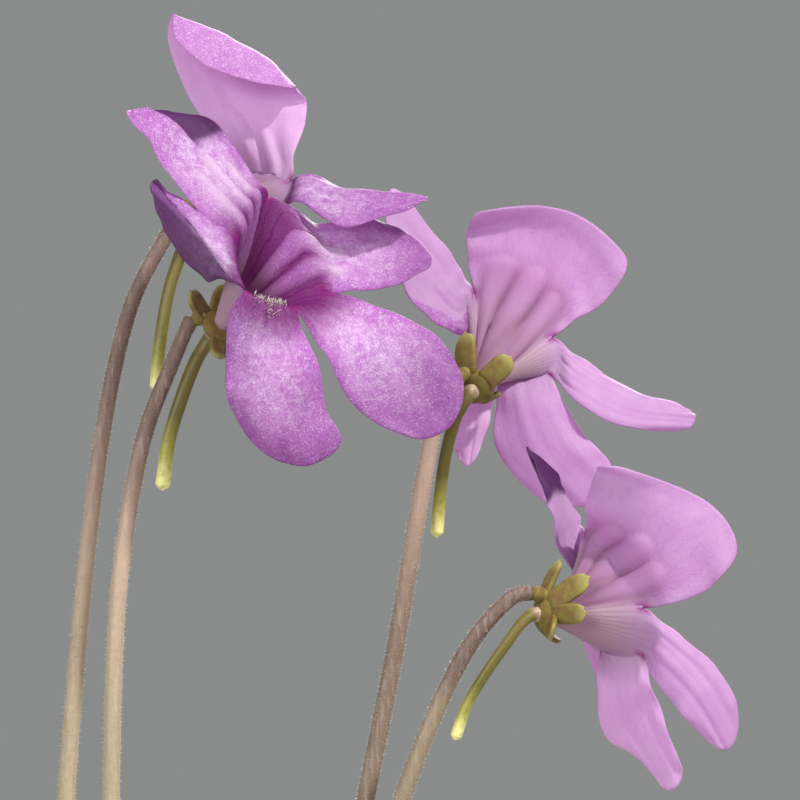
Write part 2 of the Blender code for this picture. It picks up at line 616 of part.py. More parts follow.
def lobe_grid(flower, number, steps=7, columns=PETAL_COLUMNS):
    """Middle sheet of one lobe, from inside the tube's wall to its rounded tip."""
    tube = tube_grid(flower)
    v = np.linspace(0.0, 1.0, columns + 1)
    side = 2 * v - 1
    place = (number + 0.5 + side * (0.5 - NOTCH)) * PETAL_COLUMNS
    low = np.clip(np.floor(place).astype(int), 0, tube.shape[1] - 2)
    share = (place - low)[:, None]
    mouth = tube[-1, low] * (1 - share) + tube[-1, low + 1] * share
    inner = tube[-2, low] * (1 - share) + tube[-2, low + 1] * share
    rows = np.asarray(list(flower["lobes"].values())[number], float)
    v = v[:, None]
    line = [inner, mouth]
    for left, middle, right in rows[:-1]:
        line.append(left * (1 - v) * (1 - 2 * v) + middle * 4 * v * (1 - v) + right * v * (2 * v - 1))
    # The tip row leaves both corners in line with the side edges, so the outline has no corner.
    ends = [rows[-2, 0], *rows[-1], rows[-2, 2]]
    line.append(spline(ends, 1 + 2 * v[:, 0]))
    turn_in = (side ** 6)[:, None]
    line.append((2 * line[-1] - line[-2]) * (1 - turn_in) + rows[-1, 1] * turn_in)
    line = np.array(line)
    s = np.linspace(0.0, 1.0, steps + 1)
    grid = np.stack([spline(line[:, j], 1 + len(rows) * s) for j in range(columns + 1)], axis=1)
    wave = 0.22 * np.sin(4 * math.pi * s[:, None] + number + side) * side**2 * smooth(s * 3)[:, None]
    grid = grid + sheet_normals(grid) * wave[..., None]
    return np.concatenate([(mouth + (inner - mouth) * 0.2)[None], grid])


def tube_mesh(name, grid):
    """The tube as a closed wall: outside, inside, the mouth's edge and a rounded foot."""
    ring = sheet_normals(grid, ring=True) * (TUBE_THICK / 2)
    if np.sum(ring[0, :-1] * (grid[0, :-1] - grid[0, :-1].mean(axis=0))) < 0:
        ring = -ring
    outer = (grid + ring)[:, :-1]
    inner = (grid - ring)[:, :-1]
    rows, columns = outer.shape[:2]
    axis = unit(grid[-1, :-1].mean(axis=0) - grid[0, :-1].mean(axis=0))
    points = list(outer.reshape(-1, 3)) + list(inner.reshape(-1, 3))
    under = rows * columns
    points.append(grid[0, :-1].mean(axis=0) - axis * 0.75)
    points.append(grid[0, :-1].mean(axis=0) - axis * 0.1)
    faces = []
    for j in range(columns):
        n = (j + 1) % columns
        for i in range(rows - 1):
            a, b, c, d = i * columns + j, i * columns + n, (i + 1) * columns + n, (i + 1) * columns + j
            for one, two, three in ((a, b, c), (a, c, d)):
                faces.append((one, two, three))
                faces.append((three + under, two + under, one + under))
        top = (rows - 1) * columns
        faces.append((top + j, top + n, top + n + under, top + j + under))
        faces.append((n, j, 2 * under))
        faces.append((j + under, n + under, 2 * under + 1))
    return mesh_from(name, points, faces)


def build_corolla(key, flower):
    name = f"corolla_{key}"
    corolla = add_object(name, tube_mesh(name, tube_grid(flower)), PETAL_LILAC, flower["seat"])
    lobes = []
    for number in range(5):
        piece = f"lobe_{key}_{number + 1}"
        lobes.append(add_object(piece, blade(piece, lobe_grid(flower, number), PETAL_THICK), PETAL_LILAC,
                                flower["seat"]))
    bpy.context.view_layer.update()
    fuse(corolla, lobes)
    corolla.data.name = name


def around(axis):
    """Two directions square to an axis: the first points as far down as it can."""
    down = np.array([0.0, 0.0, -1.0])
    down = unit(down - (down @ axis) * axis)
    return down, np.cross(axis, down)


def tube_reach(flower, axis, radial, along):
    """How far out the tube's wall stands on one side, at each distance along its axis."""
    wall = tube_grid(flower, 12).reshape(-1, 3)
    ahead = wall @ axis
    out = wall - ahead[:, None] * axis
    beside = (unit(out) @ radial) > math.cos(math.radians(32))
    distance = np.linalg.norm(out, axis=1)
    reach = np.zeros(along.shape)
    for place, value in np.ndenumerate(along):
        near = beside & (np.abs(ahead - value) < 0.6)
        reach[place] = distance[near].max() if near.any() else 0.0
    return reach


def sepal_grid(flower, tip, width, rows=3, columns=2):
    """Middle sheet of one tongue-shaped sepal, from the collar to its blunt tip."""
    axis = flower_axis(flower)
    tip = np.asarray(tip, float)
    radial = unit(tip - (tip @ axis) * axis)
    foot = radial * (COLLAR_RADIUS - 0.35) - axis * COLLAR_LENGTH * 0.5
    t = np.linspace(0.0, 1.0, rows + 1)[:, None]
    v = np.linspace(-1.0, 1.0, columns + 1)[None, :]
    reach = t * (1.0 - 0.12 * v**2 * t**2)
    half = width / 2 * (1.0 - 0.2 * t) * np.sqrt(1.0 - 0.8 * t**5)
    grid = foot + (tip - foot) * reach[..., None] + np.cross(axis, radial) * (v * half)[..., None]
    along = grid @ axis
    clear = tube_reach(flower, axis, radial, along) + 1.2
    bow = 0.3 * np.sin(math.pi * reach) - 0.16 * (v * half) ** 2
    lift = np.maximum(bow, np.where(along > -0.3, clear - grid @ radial, bow))
    return grid + radial * lift[..., None]


def collar_mesh(name, axis, sides=12):
    """A short ring round the tube's foot, through which the spur passes."""
    down, side = around(axis)
    low, high, inside = -COLLAR_LENGTH, 0.0, COLLAR_RADIUS - COLLAR_WALL
    profile = [(inside, low), (COLLAR_RADIUS - 0.15, low), (COLLAR_RADIUS, low * 0.5)]
    profile += [(COLLAR_RADIUS, high), (inside, high)]
    points, faces = [], []
    for k in range(sides):
        angle = 2 * math.pi * k / sides
        out = down * math.cos(angle) + side * math.sin(angle)
        points += [out * radius + axis * height for radius, height in profile]
    count = len(profile)
    for k in range(sides):
        here, there = k * count, (k + 1) % sides * count
        for j in range(count):
            n = (j + 1) % count
            faces.append((here + j, there + j, there + n, here + n))
    return mesh_from(name, points, faces)


def build_calyx(key, flower):
    """A collar round the tube's foot with five blunt sepals and a knob for the stalk."""
    axis = flower_axis(flower)
    name = f"calyx_{key}"
    calyx = add_object(name, collar_mesh(name, axis), SEPAL_GREEN, flower["seat"])
    knob = np.asarray(flower["knob"], float)
    radial = unit(knob - (knob @ axis) * axis)
    hold = radial * (COLLAR_RADIUS - 0.3) - axis * COLLAR_LENGTH * 0.5
    neck = rod(f"knob_{key}", [knob, (knob + hold) / 2, hold], (0.75, KNOB_RADIUS, 0.6), 8)
    parts = [add_object(f"knob_{key}", neck, SEPAL_GREEN, flower["seat"])]
    for number, (tip, width) in enumerate(flower["sepals"]):
        piece = f"sepal_{key}_{number + 1}"
        sheet = sepal_grid(flower, tip, width)
        parts.append(add_object(piece, blade(piece, sheet, SEPAL_THICK), SEPAL_GREEN, flower["seat"]))
    bpy.context.view_layer.update()
    fuse(calyx, parts)
    calyx.data.name = name


def build_stalk(key, flower):
    stalk = STALKS[key]
    low, high = stalk["radius"]
    seat, axis = np.asarray(flower["seat"]), flower_axis(flower)
    knob = seat + np.asarray(flower["knob"])
    radial = unit(knob - seat - ((knob - seat) @ axis) * axis)
    out = unit(knob - seat - radial * (COLLAR_RADIUS - 0.3) + axis * COLLAR_LENGTH * 0.5)
    back = unit(unit(np.asarray(stalk["way"][-1]) - knob) + out)
    end = knob + back * (0.66 + GAP + high * 0.5)
    angle = math.radians(stalk["hole"])
    foot = (STALK_RING * math.cos(angle), STALK_RING * math.sin(angle))
    way = [(*foot, CROWN_TOP - STALK_HOLE_DEPTH + GAP + 0.6), (*foot, CROWN_TOP)]
    way += [*stalk["way"], tuple(end)]
    where = np.linspace(0.0, len(way) - 1.0, 16)
    points = spline(way, where)
    share = np.linspace(0.0, 1.0, len(points))
    radii = low + (high - low) * share
    name = f"stalk_{key}"
    add_object(name, rod(name, points, radii, 7), STALK_PINK)


def build_spur(key, flower):
    """The spur carries on from the tube's foot, through the collar, and hangs down behind."""
    axis = flower_axis(flower)
    low, high = SPURS[key]["radius"]
    start = np.asarray(flower["seat"]) - axis * (0.75 + GAP + low * 0.5)
    way = [tuple(start), tuple(start - axis * 0.8), *SPURS[key]["way"]]
    points = spline(way, np.linspace(0.0, len(way) - 1.0, 10))
    share = np.linspace(0.0, 1.0, len(points))
    radii = low + (high - low) * smooth(share * 2.2)
    name = f"spur_{key}"
    add_object(name, rod(name, points, radii, 7), SPUR_GREEN)


clear_scene()
plant = bpy.data.objects.new("butterwort", None)
bpy.context.scene.collection.objects.link(plant)
build_pot()
build_soil()
build_crown()
build_leaves()
for flower_key, one_flower in FLOWERS.items():
    build_corolla(flower_key, one_flower)
    build_calyx(flower_key, one_flower)
    build_stalk(flower_key, one_flower)
    build_spur(flower_key, one_flower)
bpy.context.view_layer.update()
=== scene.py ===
# %% [markdown]
# # A butterwort in a clay pot
# A butterwort is a small bog plant. Its leaves lie flat in a rosette and are sticky, and it lifts
# each flower on a bare stalk. The imported model gives the plain solids of the plant, one for each
# part. This lesson builds the finished piece for each of them, in the same place and in metres.

# %% Load the plain solids and bake each one's place into its points
import math

import bmesh
import bpy
import mathutils
import numpy as np
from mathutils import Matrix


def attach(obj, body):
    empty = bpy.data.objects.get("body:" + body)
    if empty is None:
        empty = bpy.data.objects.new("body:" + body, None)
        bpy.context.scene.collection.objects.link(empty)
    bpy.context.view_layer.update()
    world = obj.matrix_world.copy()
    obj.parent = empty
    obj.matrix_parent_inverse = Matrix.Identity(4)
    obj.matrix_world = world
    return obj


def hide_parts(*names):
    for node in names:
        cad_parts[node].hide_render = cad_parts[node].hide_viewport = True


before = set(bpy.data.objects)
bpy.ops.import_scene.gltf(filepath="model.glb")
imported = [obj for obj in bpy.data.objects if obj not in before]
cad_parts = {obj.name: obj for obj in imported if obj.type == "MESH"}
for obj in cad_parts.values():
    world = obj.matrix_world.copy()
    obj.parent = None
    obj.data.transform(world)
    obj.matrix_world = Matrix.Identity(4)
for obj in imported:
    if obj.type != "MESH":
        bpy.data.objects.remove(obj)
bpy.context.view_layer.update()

# %% [markdown]
# ## Working in millimetres
# Petals are a fraction of a millimetre thick, so every measure below is in millimetres and turns
# into metres only when a mesh is made. A few small helpers do the sums: directions of length one,
# a soft step, a smooth curve through given points, and the normals of a grid of points.
# Smooth curves suit a plant, because nothing on it has a corner.

# %% Helpers for sums on points
MM = 0.001


def unit(vector):
    vector = np.asarray(vector, float)
    return vector / np.maximum(np.linalg.norm(vector, axis=-1, keepdims=True), 1e-9)


def smooth(value):
    value = np.clip(value, 0.0, 1.0)
    return value * value * (3.0 - 2.0 * value)


def between(ends, share):
    """The value that lies a share of the way from the first of two ends to the second."""
    return ends[0] + (ends[1] - ends[0]) * share


def spline(points, where):
    """A smooth curve through points; where runs from 0 at the first to n - 1 at the last."""
    p = np.asarray(points, float)
    n = len(p)
    ends = np.concatenate([[2 * p[0] - p[1]], p, [2 * p[-1] - p[-2]]])
    where = np.asarray(where, float)
    i = np.clip(np.floor(where).astype(int), 0, n - 2)
    u = (where - i).reshape(where.shape + (1,) * (p.ndim - 1))
    a, b, c, d = ends[i], ends[i + 1], ends[i + 2], ends[i + 3]
    curve = 2 * b + (c - a) * u + (2 * a - 5 * b + 4 * c - d) * u**2
    return 0.5 * (curve + (3 * b - a - 3 * c + d) * u**3)


def smooth_run(points, count):
    """A smooth curve in equal steps, and how far along it each of its points is."""
    return spline(points, np.linspace(0.0, len(points) - 1.0, count)), np.linspace(0.0, 1.0, count)


def grid_cells(grid):
    """The four corners of each cell of a grid, in the order of a face."""
    return np.stack([grid[:-1, :-1], grid[1:, :-1], grid[1:, 1:], grid[:-1, 1:]], axis=2)


def sheet_normals(grid, ring=False):
    """Normals of a grid of points; ring says that its last column meets its first."""
    if ring:
        wrapped = np.concatenate([grid[:, -1:], grid, grid[:, :1]], axis=1)
        across = np.gradient(wrapped, axis=1)[:, 1:-1]
    else:
        across = np.gradient(grid, axis=1)
    return unit(np.cross(np.gradient(grid, axis=0), across))

# %% [markdown]
# ## From numbers to a piece
# Blender can read all of a mesh's corners at once, which is far quicker than adding them one by
# one. Each mesh also carries marks: one number for each point, such as how far along a petal it
# lies. The materials read these marks, so a vein or a stain follows the shape it belongs to.

# %% Make a piece from points, faces and marks
def add_mark(mesh, name, values):
    layer = mesh.attributes.new(name, "FLOAT", "POINT")
    layer.data.foreach_set("value", np.asarray(values, np.float32).ravel())


def mark_of(mesh, name):
    values = np.empty(len(mesh.vertices))
    mesh.attributes[name].data.foreach_get("value", values)
    return values


def spots(mesh):
    """All points of a mesh in millimetres."""
    flat = np.empty(len(mesh.vertices) * 3)
    mesh.vertices.foreach_get("co", flat)
    return flat.reshape(-1, 3) / MM


def new_mesh(name, points, faces, marks=None, uv=None, turn_out=False):
    mesh = bpy.data.meshes.new(name)
    mesh.from_pydata((np.asarray(points, float) * MM).tolist(), [], [tuple(map(int, f)) for f in faces])
    for key, values in (marks or {}).items():
        add_mark(mesh, key, values)
    if uv is not None:
        layer = mesh.uv_layers.new(name="petal")
        layer.data.foreach_set("uv", np.asarray(uv, np.float32).ravel())
    if turn_out:
        made = bmesh.new()
        made.from_mesh(mesh)
        bmesh.ops.recalc_face_normals(made, faces=made.faces)
        made.to_mesh(mesh)
        made.free()
    mesh.shade_smooth()
    return mesh


def new_piece(name, mesh, look=None):
    piece = bpy.data.objects.new(name, mesh)
    bpy.context.scene.collection.objects.link(piece)
    if look is not None:
        mesh.materials.clear()
        mesh.materials.append(look)
    return piece


def place(piece, slot, *nodes):
    """Hand a finished piece to the frame, and hide the plain solids that it stands for; slot is not used.
    """
    if nodes:
        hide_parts(*nodes)
    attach(piece, "root")
    print(piece.name, len(piece.data.polygons), "faces")
    return piece


def moved(place_at):
    return mathutils.Matrix.Translation([c * MM for c in place_at])

# %% [markdown]
# ## Shader sums written as ordinary sums
# A material is a small network of nodes. Building it by hand takes one line for each node and each
# link. The class below wraps one socket, so that adding or multiplying two wires adds the Math
# node that does it. Every other kind of node comes from its one method, add.

# %% One class for all shader networks
class Wire:
    """One socket of a node tree, which can be added, multiplied and fed to other nodes."""

    def __init__(self, tree, socket=None):
        self.tree = tree
        self.socket = socket

    def add(self, kind, settings=None, sockets=None, output=0):
        """A new node of one kind, with its choices set and its inputs given or linked."""
        node = self.tree.nodes.new(kind if "Node" in kind else "ShaderNode" + kind)
        for key, value in (settings or {}).items():
            if key == "stops":
                ramp = node.color_ramp
                while len(ramp.elements) < len(value):
                    ramp.elements.new(1.0)
                for stop, (position, colour) in zip(ramp.elements, value):
                    stop.position = position
                    stop.color = colour
            else:
                setattr(node, key, value)
        for key, value in (sockets or {}).items():
            if isinstance(value, Wire):
                self.tree.links.new(value.socket, node.inputs[key])
            else:
                node.inputs[key].default_value = value
        return Wire(self.tree, node.outputs[output] if node.outputs else None)

    def maths(self, operation, other=0.0, first=None):
        pair = {0: self, 1: other} if first is None else {0: first, 1: self}
        return self.add("Math", {"operation": operation}, pair)

    def __add__(self, other):
        return self.maths("ADD", other)

    def __radd__(self, other):
        return self.maths("ADD", first=other)

    def __sub__(self, other):
        return self.maths("SUBTRACT", other)

    def __rsub__(self, other):
        return self.maths("SUBTRACT", first=other)

    def __mul__(self, other):
        return self.maths("MULTIPLY", other)

    def __rmul__(self, other):
        return self.maths("MULTIPLY", first=other)

    def __pow__(self, other):
        return self.maths("POWER", other)

    def clamp(self):
        return self.add("Clamp", None, {0: self})

    def step(self, low, high):
        """0 below low, 1 above high, and soft between."""
        ends = {"Value": self, "From Min": low, "From Max": high}
        return self.add("MapRange", {"interpolation_type": "SMOOTHSTEP"}, ends)

    def lines(self, sharp):
        """Thin lines, one for each whole number that the value passes."""
        away = (self.maths("FRACT") * 2 - 1).maths("ABSOLUTE")
        return (1 - away) ** sharp

    def tinted(self, low, high):
        """A colour that goes from low to high as this wire goes from 0 to 1."""
        return self.add("Mix", {"data_type": "RGBA"}, {0: self, 6: low, 7: high}, 2)

    def mark(self, name):
        return self.add("Attribute", {"attribute_name": name}, None, 2)

    def noise(self, where, size, detail=2.0, rough=0.5):
        """Cloudy noise whose patches are about size millimetres across."""
        sockets = {"Vector": where, "Scale": 1.0 / (size * MM), "Detail": detail, "Roughness": rough}
        return self.add("TexNoise", None, sockets)


def srgb(red, green, blue):
    """A screen colour, 0 to 255, as the light values that shaders use."""
    values = []
    for value in (red, green, blue):
        value = value / 255
        values.append(value / 12.92 if value <= 0.04045 else ((value + 0.055) / 1.055) ** 2.4)
    return (*values, 1.0)


def new_look(name):
    """A fresh material: the start wire, and the object's own coordinates."""
    look = bpy.data.materials.new(name)
    look.use_nodes = True
    look.node_tree.nodes.clear()
    start = Wire(look.node_tree)
    return look, start, start.add("TexCoord", None, None, 3)


def close_look(look, shader):
    shader.add("OutputMaterial", None, {"Surface": shader})
    return look


def bumpy(height, strength, depth, under=None):
    """A bump in which height 1 stands depth millimetres above height 0."""
    sockets = {"Strength": strength, "Distance": depth * MM, "Height": height}
    if under is not None:
        sockets["Normal"] = under
    return height.add("Bump", None, sockets)


def surface(colour, rough, bump=None, more=None):
    """The shader of a solid surface; more holds further sockets and their values."""
    sockets = {"Base Color": colour, "Roughness": rough, **(more or {})}
    if bump is not None:
        sockets["Normal"] = bump
    return colour.add("BsdfPrincipled", None, sockets)


def soft_flesh(weight, reach, scale=0.5):
    """Light that spreads under the skin: reach is in millimetres, for red, green and blue."""
    radius = [part * MM for part in reach]
    return {"Subsurface Weight": weight, "Subsurface Radius": radius, "Subsurface Scale": scale}

# %% [markdown]
# ## The flowers: where everything sits
# Each flower is a tube that flares into five flat lobes. The lists below say where: the seat is
# the foot of the tube, the mouth has a notch between each two lobes, and each lobe is given by
# rows of three points, left edge, middle and right edge, from the mouth to the tip.

# %% Places of the flowers
FLOWERS = {}

# %% Flower a, high on the left
FLOWERS["a"] = {
    "seat": (-0.1, 3.5, 195.4),
    "tube": 1.8,
    "knob": (-2.3, -0.3, 1.1),
    "sepals": [((-0.3, 0.5, 3.6), 1.9), ((0.3, -3.9, 2.2), 1.9),
               ((2.2, -2.1, -2.0), 1.7), ((1.7, 1.1, -1.3), 1.5),
               ((-0.1, 2.5, 1.3), 1.6)],
    "mouth": [(3.6, 2.5, 4.1), (7.8, -2.5, 3.4), (7.1, -4.0, 1.1),
              (4.6, -2.5, -0.6), (2.9, 1.5, 1.6)],
    "lobes": {
        "top": [
            ((1.3, 1.5, 7.4), (4.9, 1.0, 7.6), (8.4, -1.5, 6.1)),
            ((-2.1, 1.5, 12.1), (3.1, 1.5, 12.1), (9.5, -0.5, 9.4)),
            ((-4.2, 1.3, 17.8), (2.7, 2.0, 15.4), (9.5, -0.3, 11.5)),
            ((-3.7, -0.1, 20.3), (3.7, -0.1, 17.1), (8.7, -0.9, 13.0)),
            ((-3.2, -1.9, 17.8), (0.5, -2.9, 14.8), (7.5, -2.2, 13.0)),
        ],
        "right": [
            ((9.6, -4.5, 4.1), (9.6, -7.3, 2.6), (9.6, -9.3, 1.1)),
            ((14.3, -6.5, 2.8), (13.9, -9.5, 1.0), (13.9, -11.5, -1.2)),
            ((20.6, -8.5, 1.9), (21.8, -9.5, 1.7), (20.3, -10.5, 1.0)),
        ],
        "lower_mid": [
            ((8.3, -3.5, -2.4), (6.3, -2.5, -3.4), (4.3, -1.5, -2.9)),
            ((8.7, -2.5, -7.4), (6.3, -1.5, -8.4), (4.1, -0.5, -7.4)),
            ((8.1, -1.5, -11.9), (6.3, -1.5, -12.9), (4.6, -0.5, -11.9)),
        ],
        "lower_left": [
            ((3.6, 0.5, -2.4), (2.7, 2.5, -2.0), (2.1, 4.5, -0.4)),
            ((3.1, 3.5, -4.9), (1.9, 5.5, -4.6), (1.3, 7.5, -2.4)),
            ((2.9, 5.5, -7.4), (1.9, 6.5, -7.2), (1.3, 8.5, -5.4)),
        ],
        "back": [
            ((2.5, 4.5, 3.4), (2.3, 5.5, 5.0), (3.1, 6.0, 5.8)),
            ((1.7, 9.5, 6.1), (2.3, 10.5, 7.6), (3.7, 10.0, 8.2)),
            ((1.7, 12.5, 8.6), (2.9, 13.5, 9.8), (4.5, 12.5, 9.8)),
        ],
    },
}

# %% Flower b, below it and further forward
FLOWERS["b"] = {
    "seat": (1.2, -4.5, 184.5),
    "tube": 2.0,
    "knob": (-2.7, 0.3, 0.7),
    "sepals": [((-3.1, -0.5, 3.4), 2.3), ((-0.3, -3.3, -3.3), 1.6),
               ((3.0, -0.5, -1.5), 1.8), ((0.4, 1.5, 4.1), 1.9),
               ((1.4, 4.7, 0.7), 1.7)],
    "mouth": [(4.6, -1.5, 12.5), (1.6, -6.5, 8.0), (2.6, -9.0, 3.3),
              (7.0, -7.5, 1.7), (9.8, -4.0, 3.3)],
    "lobes": {
        "upper_left": [
            ((3.3, -1.5, 14.5), (1.4, -3.5, 12.9), (-1.0, -6.5, 10.5)),
            ((0.6, -0.5, 18.7), (-2.2, -2.0, 17.3), (-5.6, -5.5, 15.3)),
            ((-1.5, 0.3, 20.7), (-4.6, -0.7, 20.1), (-7.2, -4.1, 18.7)),
            ((-4.2, 0.5, 21.5), (-7.2, -0.5, 21.6), (-9.5, -2.5, 20.9)),
        ],
        "left": [
            ((-0.7, -6.5, 10.3), (0.3, -8.5, 6.3), (0.0, -7.5, 4.3)),
            ((-3.7, -5.5, 12.0), (-2.5, -8.0, 8.5), (-2.3, -4.5, 4.6)),
            ((-6.4, -4.5, 14.4), (-6.9, -5.5, 12.8), (-5.7, -3.5, 9.3)),
        ],
        "lower_mid": [
            ((1.0, -9.5, 1.0), (5.0, -9.0, -2.0), (8.3, -8.0, -1.0)),
            ((0.6, -8.5, -5.0), (5.4, -8.9, -6.7), (9.9, -7.5, -5.3)),
            ((1.4, -8.1, -9.1), (6.4, -8.3, -10.5), (10.5, -7.1, -8.6)),
            ((4.3, -7.5, -12.7), (8.4, -7.5, -14.0), (11.9, -7.9, -11.8)),
        ],
        "lower_right": [
            ((10.3, -8.0, -2.7), (12.8, -6.5, -1.0), (15.3, -4.5, 1.8)),
            ((13.3, -8.0, -8.0), (17.3, -7.0, -5.0), (20.8, -5.0, -0.7)),
            ((18.8, -8.0, -11.2), (22.8, -7.0, -10.0), (24.0, -6.0, -5.5)),
        ],
        "upper_right": [
            ((12.3, -3.5, 3.3), (10.8, -1.5, 7.0), (9.2, 0.3, 10.1)),
            ((16.8, -2.5, 3.9), (16.3, -0.5, 7.3), (13.3, 1.0, 10.8)),
            ((20.3, -1.5, 5.5), (20.6, -0.5, 7.3), (17.6, 0.5, 9.7)),
        ],
    },
}

# %% Flower c, on the right, behind
FLOWERS["c"] = {
    "seat": (26.8, 3.5, 178.6),
    "tube": 1.8,
    "knob": (-2.3, -2.5, 0.6),
    "sepals": [((3.4, -0.9, 2.7), 2.1), ((-1.2, 0.7, 5.2), 2.4),
               ((1.6, 1.3, -0.5), 1.5), ((-2.8, 3.1, 2.8), 1.8),
               ((-0.4, 2.7, -0.8), 1.7)],
    "mouth": [(-0.2, 7.5, 8.9), (7.4, 6.0, 4.6), (7.1, 5.5, 1.2),
              (2.8, 5.0, 1.4), (-0.4, 5.5, 4.9)],
    "lobes": {
        "top": [
            ((-0.8, 8.5, 12.2), (6.2, 9.0, 11.2), (10.2, 7.5, 6.7)),
            ((-0.8, 8.0, 15.4), (7.7, 9.0, 15.2), (13.2, 7.5, 8.7)),
            ((0.8, 7.0, 17.7), (9.2, 8.0, 17.6), (15.0, 7.0, 12.8)),
        ],
        "right": [
            ((10.7, 5.5, 2.4), (10.2, 4.0, 0.6), (10.5, 2.5, -2.1)),
            ((16.0, 5.0, -0.6), (15.8, 3.5, -2.4), (15.2, 2.5, -4.3)),
            ((21.2, 5.5, -2.5), (22.1, 5.0, -3.3), (20.8, 4.5, -4.6)),
        ],
        "lower_mid": [
            ((8.6, 4.0, -1.9), (5.2, 3.0, -1.6), (2.0, 3.5, -1.4)),
            ((11.5, 3.5, -5.9), (7.0, 2.8, -6.8), (2.2, 3.5, -6.8)),
            ((13.5, 3.5, -8.6), (11.2, 3.3, -12.1), (6.7, 3.5, -11.8)),
        ],
        "lower_left": [
            ((1.9, 4.3, -0.4), (0.4, 4.1, -0.8), (-1.1, 5.1, -1.4)),
            ((1.2, 3.9, -3.6), (-0.6, 3.7, -4.1), (-2.3, 4.5, -4.0)),
            ((0.0, 3.5, -7.1), (-1.1, 3.5, -8.2), (-2.1, 3.9, -6.8)),
        ],
        "left": [
            ((-1.6, 5.5, 5.0), (-2.3, 5.5, 7.9), (-1.6, 8.5, 11.4)),
            ((-4.6, 3.0, 6.2), (-5.0, 6.5, 10.9), (-3.8, 8.5, 14.7)),
            ((-7.4, 2.5, 9.8), (-9.0, 5.5, 15.2), (-8.5, 8.0, 19.8)),
        ],
    },
}

# %% Flower d, low on the right
FLOWERS["d"] = {
    "seat": (33.9, -5.0, 155.7),
    "tube": 2.1,
    "knob": (-1.6, -1.2, 2.1),
    "sepals": [((4.0, -2.2, 3.7), 2.3), ((1.1, 1.0, 5.3), 1.7),
               ((3.7, -3.2, 0.1), 1.8), ((0.1, -3.6, -2.0), 2.0),
               ((1.1, 2.4, -2.7), 1.6)],
    "mouth": [(3.6, 6.0, 7.6), (9.1, -2.0, 0.6), (9.1, 0.0, -3.9),
              (5.1, 5.0, -3.5), (4.5, 9.0, 0.8)],
    "lobes": {
        "top": [
            ((3.8, 3.0, 10.1), (9.1, -1.0, 6.8), (12.7, -3.5, 1.3)),
            ((4.5, 0.5, 13.5), (11.9, -2.5, 10.1), (16.3, -4.0, 3.1)),
            ((6.3, -1.0, 14.8), (15.3, -3.0, 11.3), (18.5, -4.0, 6.8)),
        ],
        "lower_right": [
            ((12.3, -3.0, -1.8), (11.3, -3.5, -3.5), (10.6, -3.0, -6.7)),
            ((16.5, -3.5, -5.2), (14.9, -4.0, -7.7), (13.1, -3.5, -9.8)),
            ((18.7, -3.0, -10.2), (17.8, -3.5, -13.3), (15.7, -3.5, -12.6)),
        ],
        "lower_mid": [
            ((10.1, 0.0, -7.1), (7.4, 1.0, -7.7), (4.8, 2.0, -7.5)),
            ((11.7, 1.0, -11.5), (8.7, 2.0, -11.7), (5.7, 3.0, -12.2)),
            ((13.3, 2.0, -15.9), (11.9, 2.5, -17.7), (9.7, 3.0, -15.3)),
        ],
        "back": [
            ((5.1, 9.0, -4.2), (4.1, 10.0, -3.2), (3.6, 12.0, -1.2)),
            ((6.3, 12.0, -7.7), (5.3, 14.0, -6.7), (4.1, 15.0, -3.7)),
            ((7.6, 14.5, -10.2), (6.9, 16.0, -10.2), (5.6, 16.5, -8.2)),
        ],
        "left": [
            ((1.6, 4.5, 5.7), (2.4, 7.5, 7.1), (3.2, 10.0, 8.8)),
            ((-0.1, 3.0, 10.5), (0.7, 6.5, 11.3), (1.9, 9.5, 11.5)),
            ((-1.4, 3.5, 14.3), (-2.4, 6.0, 16.4), (0.1, 8.8, 13.9)),
        ],
    },
}
print("flowers:", len(FLOWERS), "lobes:", sum(len(flower["lobes"]) for flower in FLOWERS.values()))

# %% [markdown]
# ## The petals' surface
# The sheet starts as a ring of points round the tube's foot and widens to the mouth. From there
# each lobe carries on with its own grid, which begins on the very points of the mouth, so tube
# and lobes are one sheet without a seam. A curve through the given rows, crossed by a curve
# through left, middle and right, gives the shape of each lobe.

# %% Grids of the tube and of each lobe
COLUMNS = 30
TUBE_ROWS = 16
LOBE_ROWS = 48
TUBE_FOOT_RADIUS = 0.7


def flower_axis(flower):
    return unit(np.mean(np.asarray(flower["mouth"]), axis=0))


def tube_sheet(flower, rows=TUBE_ROWS, columns=COLUMNS):
    """Rows of points from the tube's foot to its mouth, swelling a little on the way."""
    notches = np.asarray(flower["mouth"], float)
    looped = np.concatenate([notches[-1:], notches, notches[:2]])
    ring = spline(looped, 1.0 + np.arange(5 * columns) / columns)
    axis = flower_axis(flower)
    radial = unit(ring - (ring @ axis)[:, None] * axis)
    length = np.linalg.norm(np.mean(notches, axis=0))
    foot = radial * TUBE_FOOT_RADIUS
    knee = radial * flower["tube"] * 1.25 + axis * length * 0.55
    t = np.linspace(0.0, 1.0, rows + 1)[:, None, None]
    return foot * (1 - t) ** 2 + 2 * knee * t * (1 - t) + ring * t**2


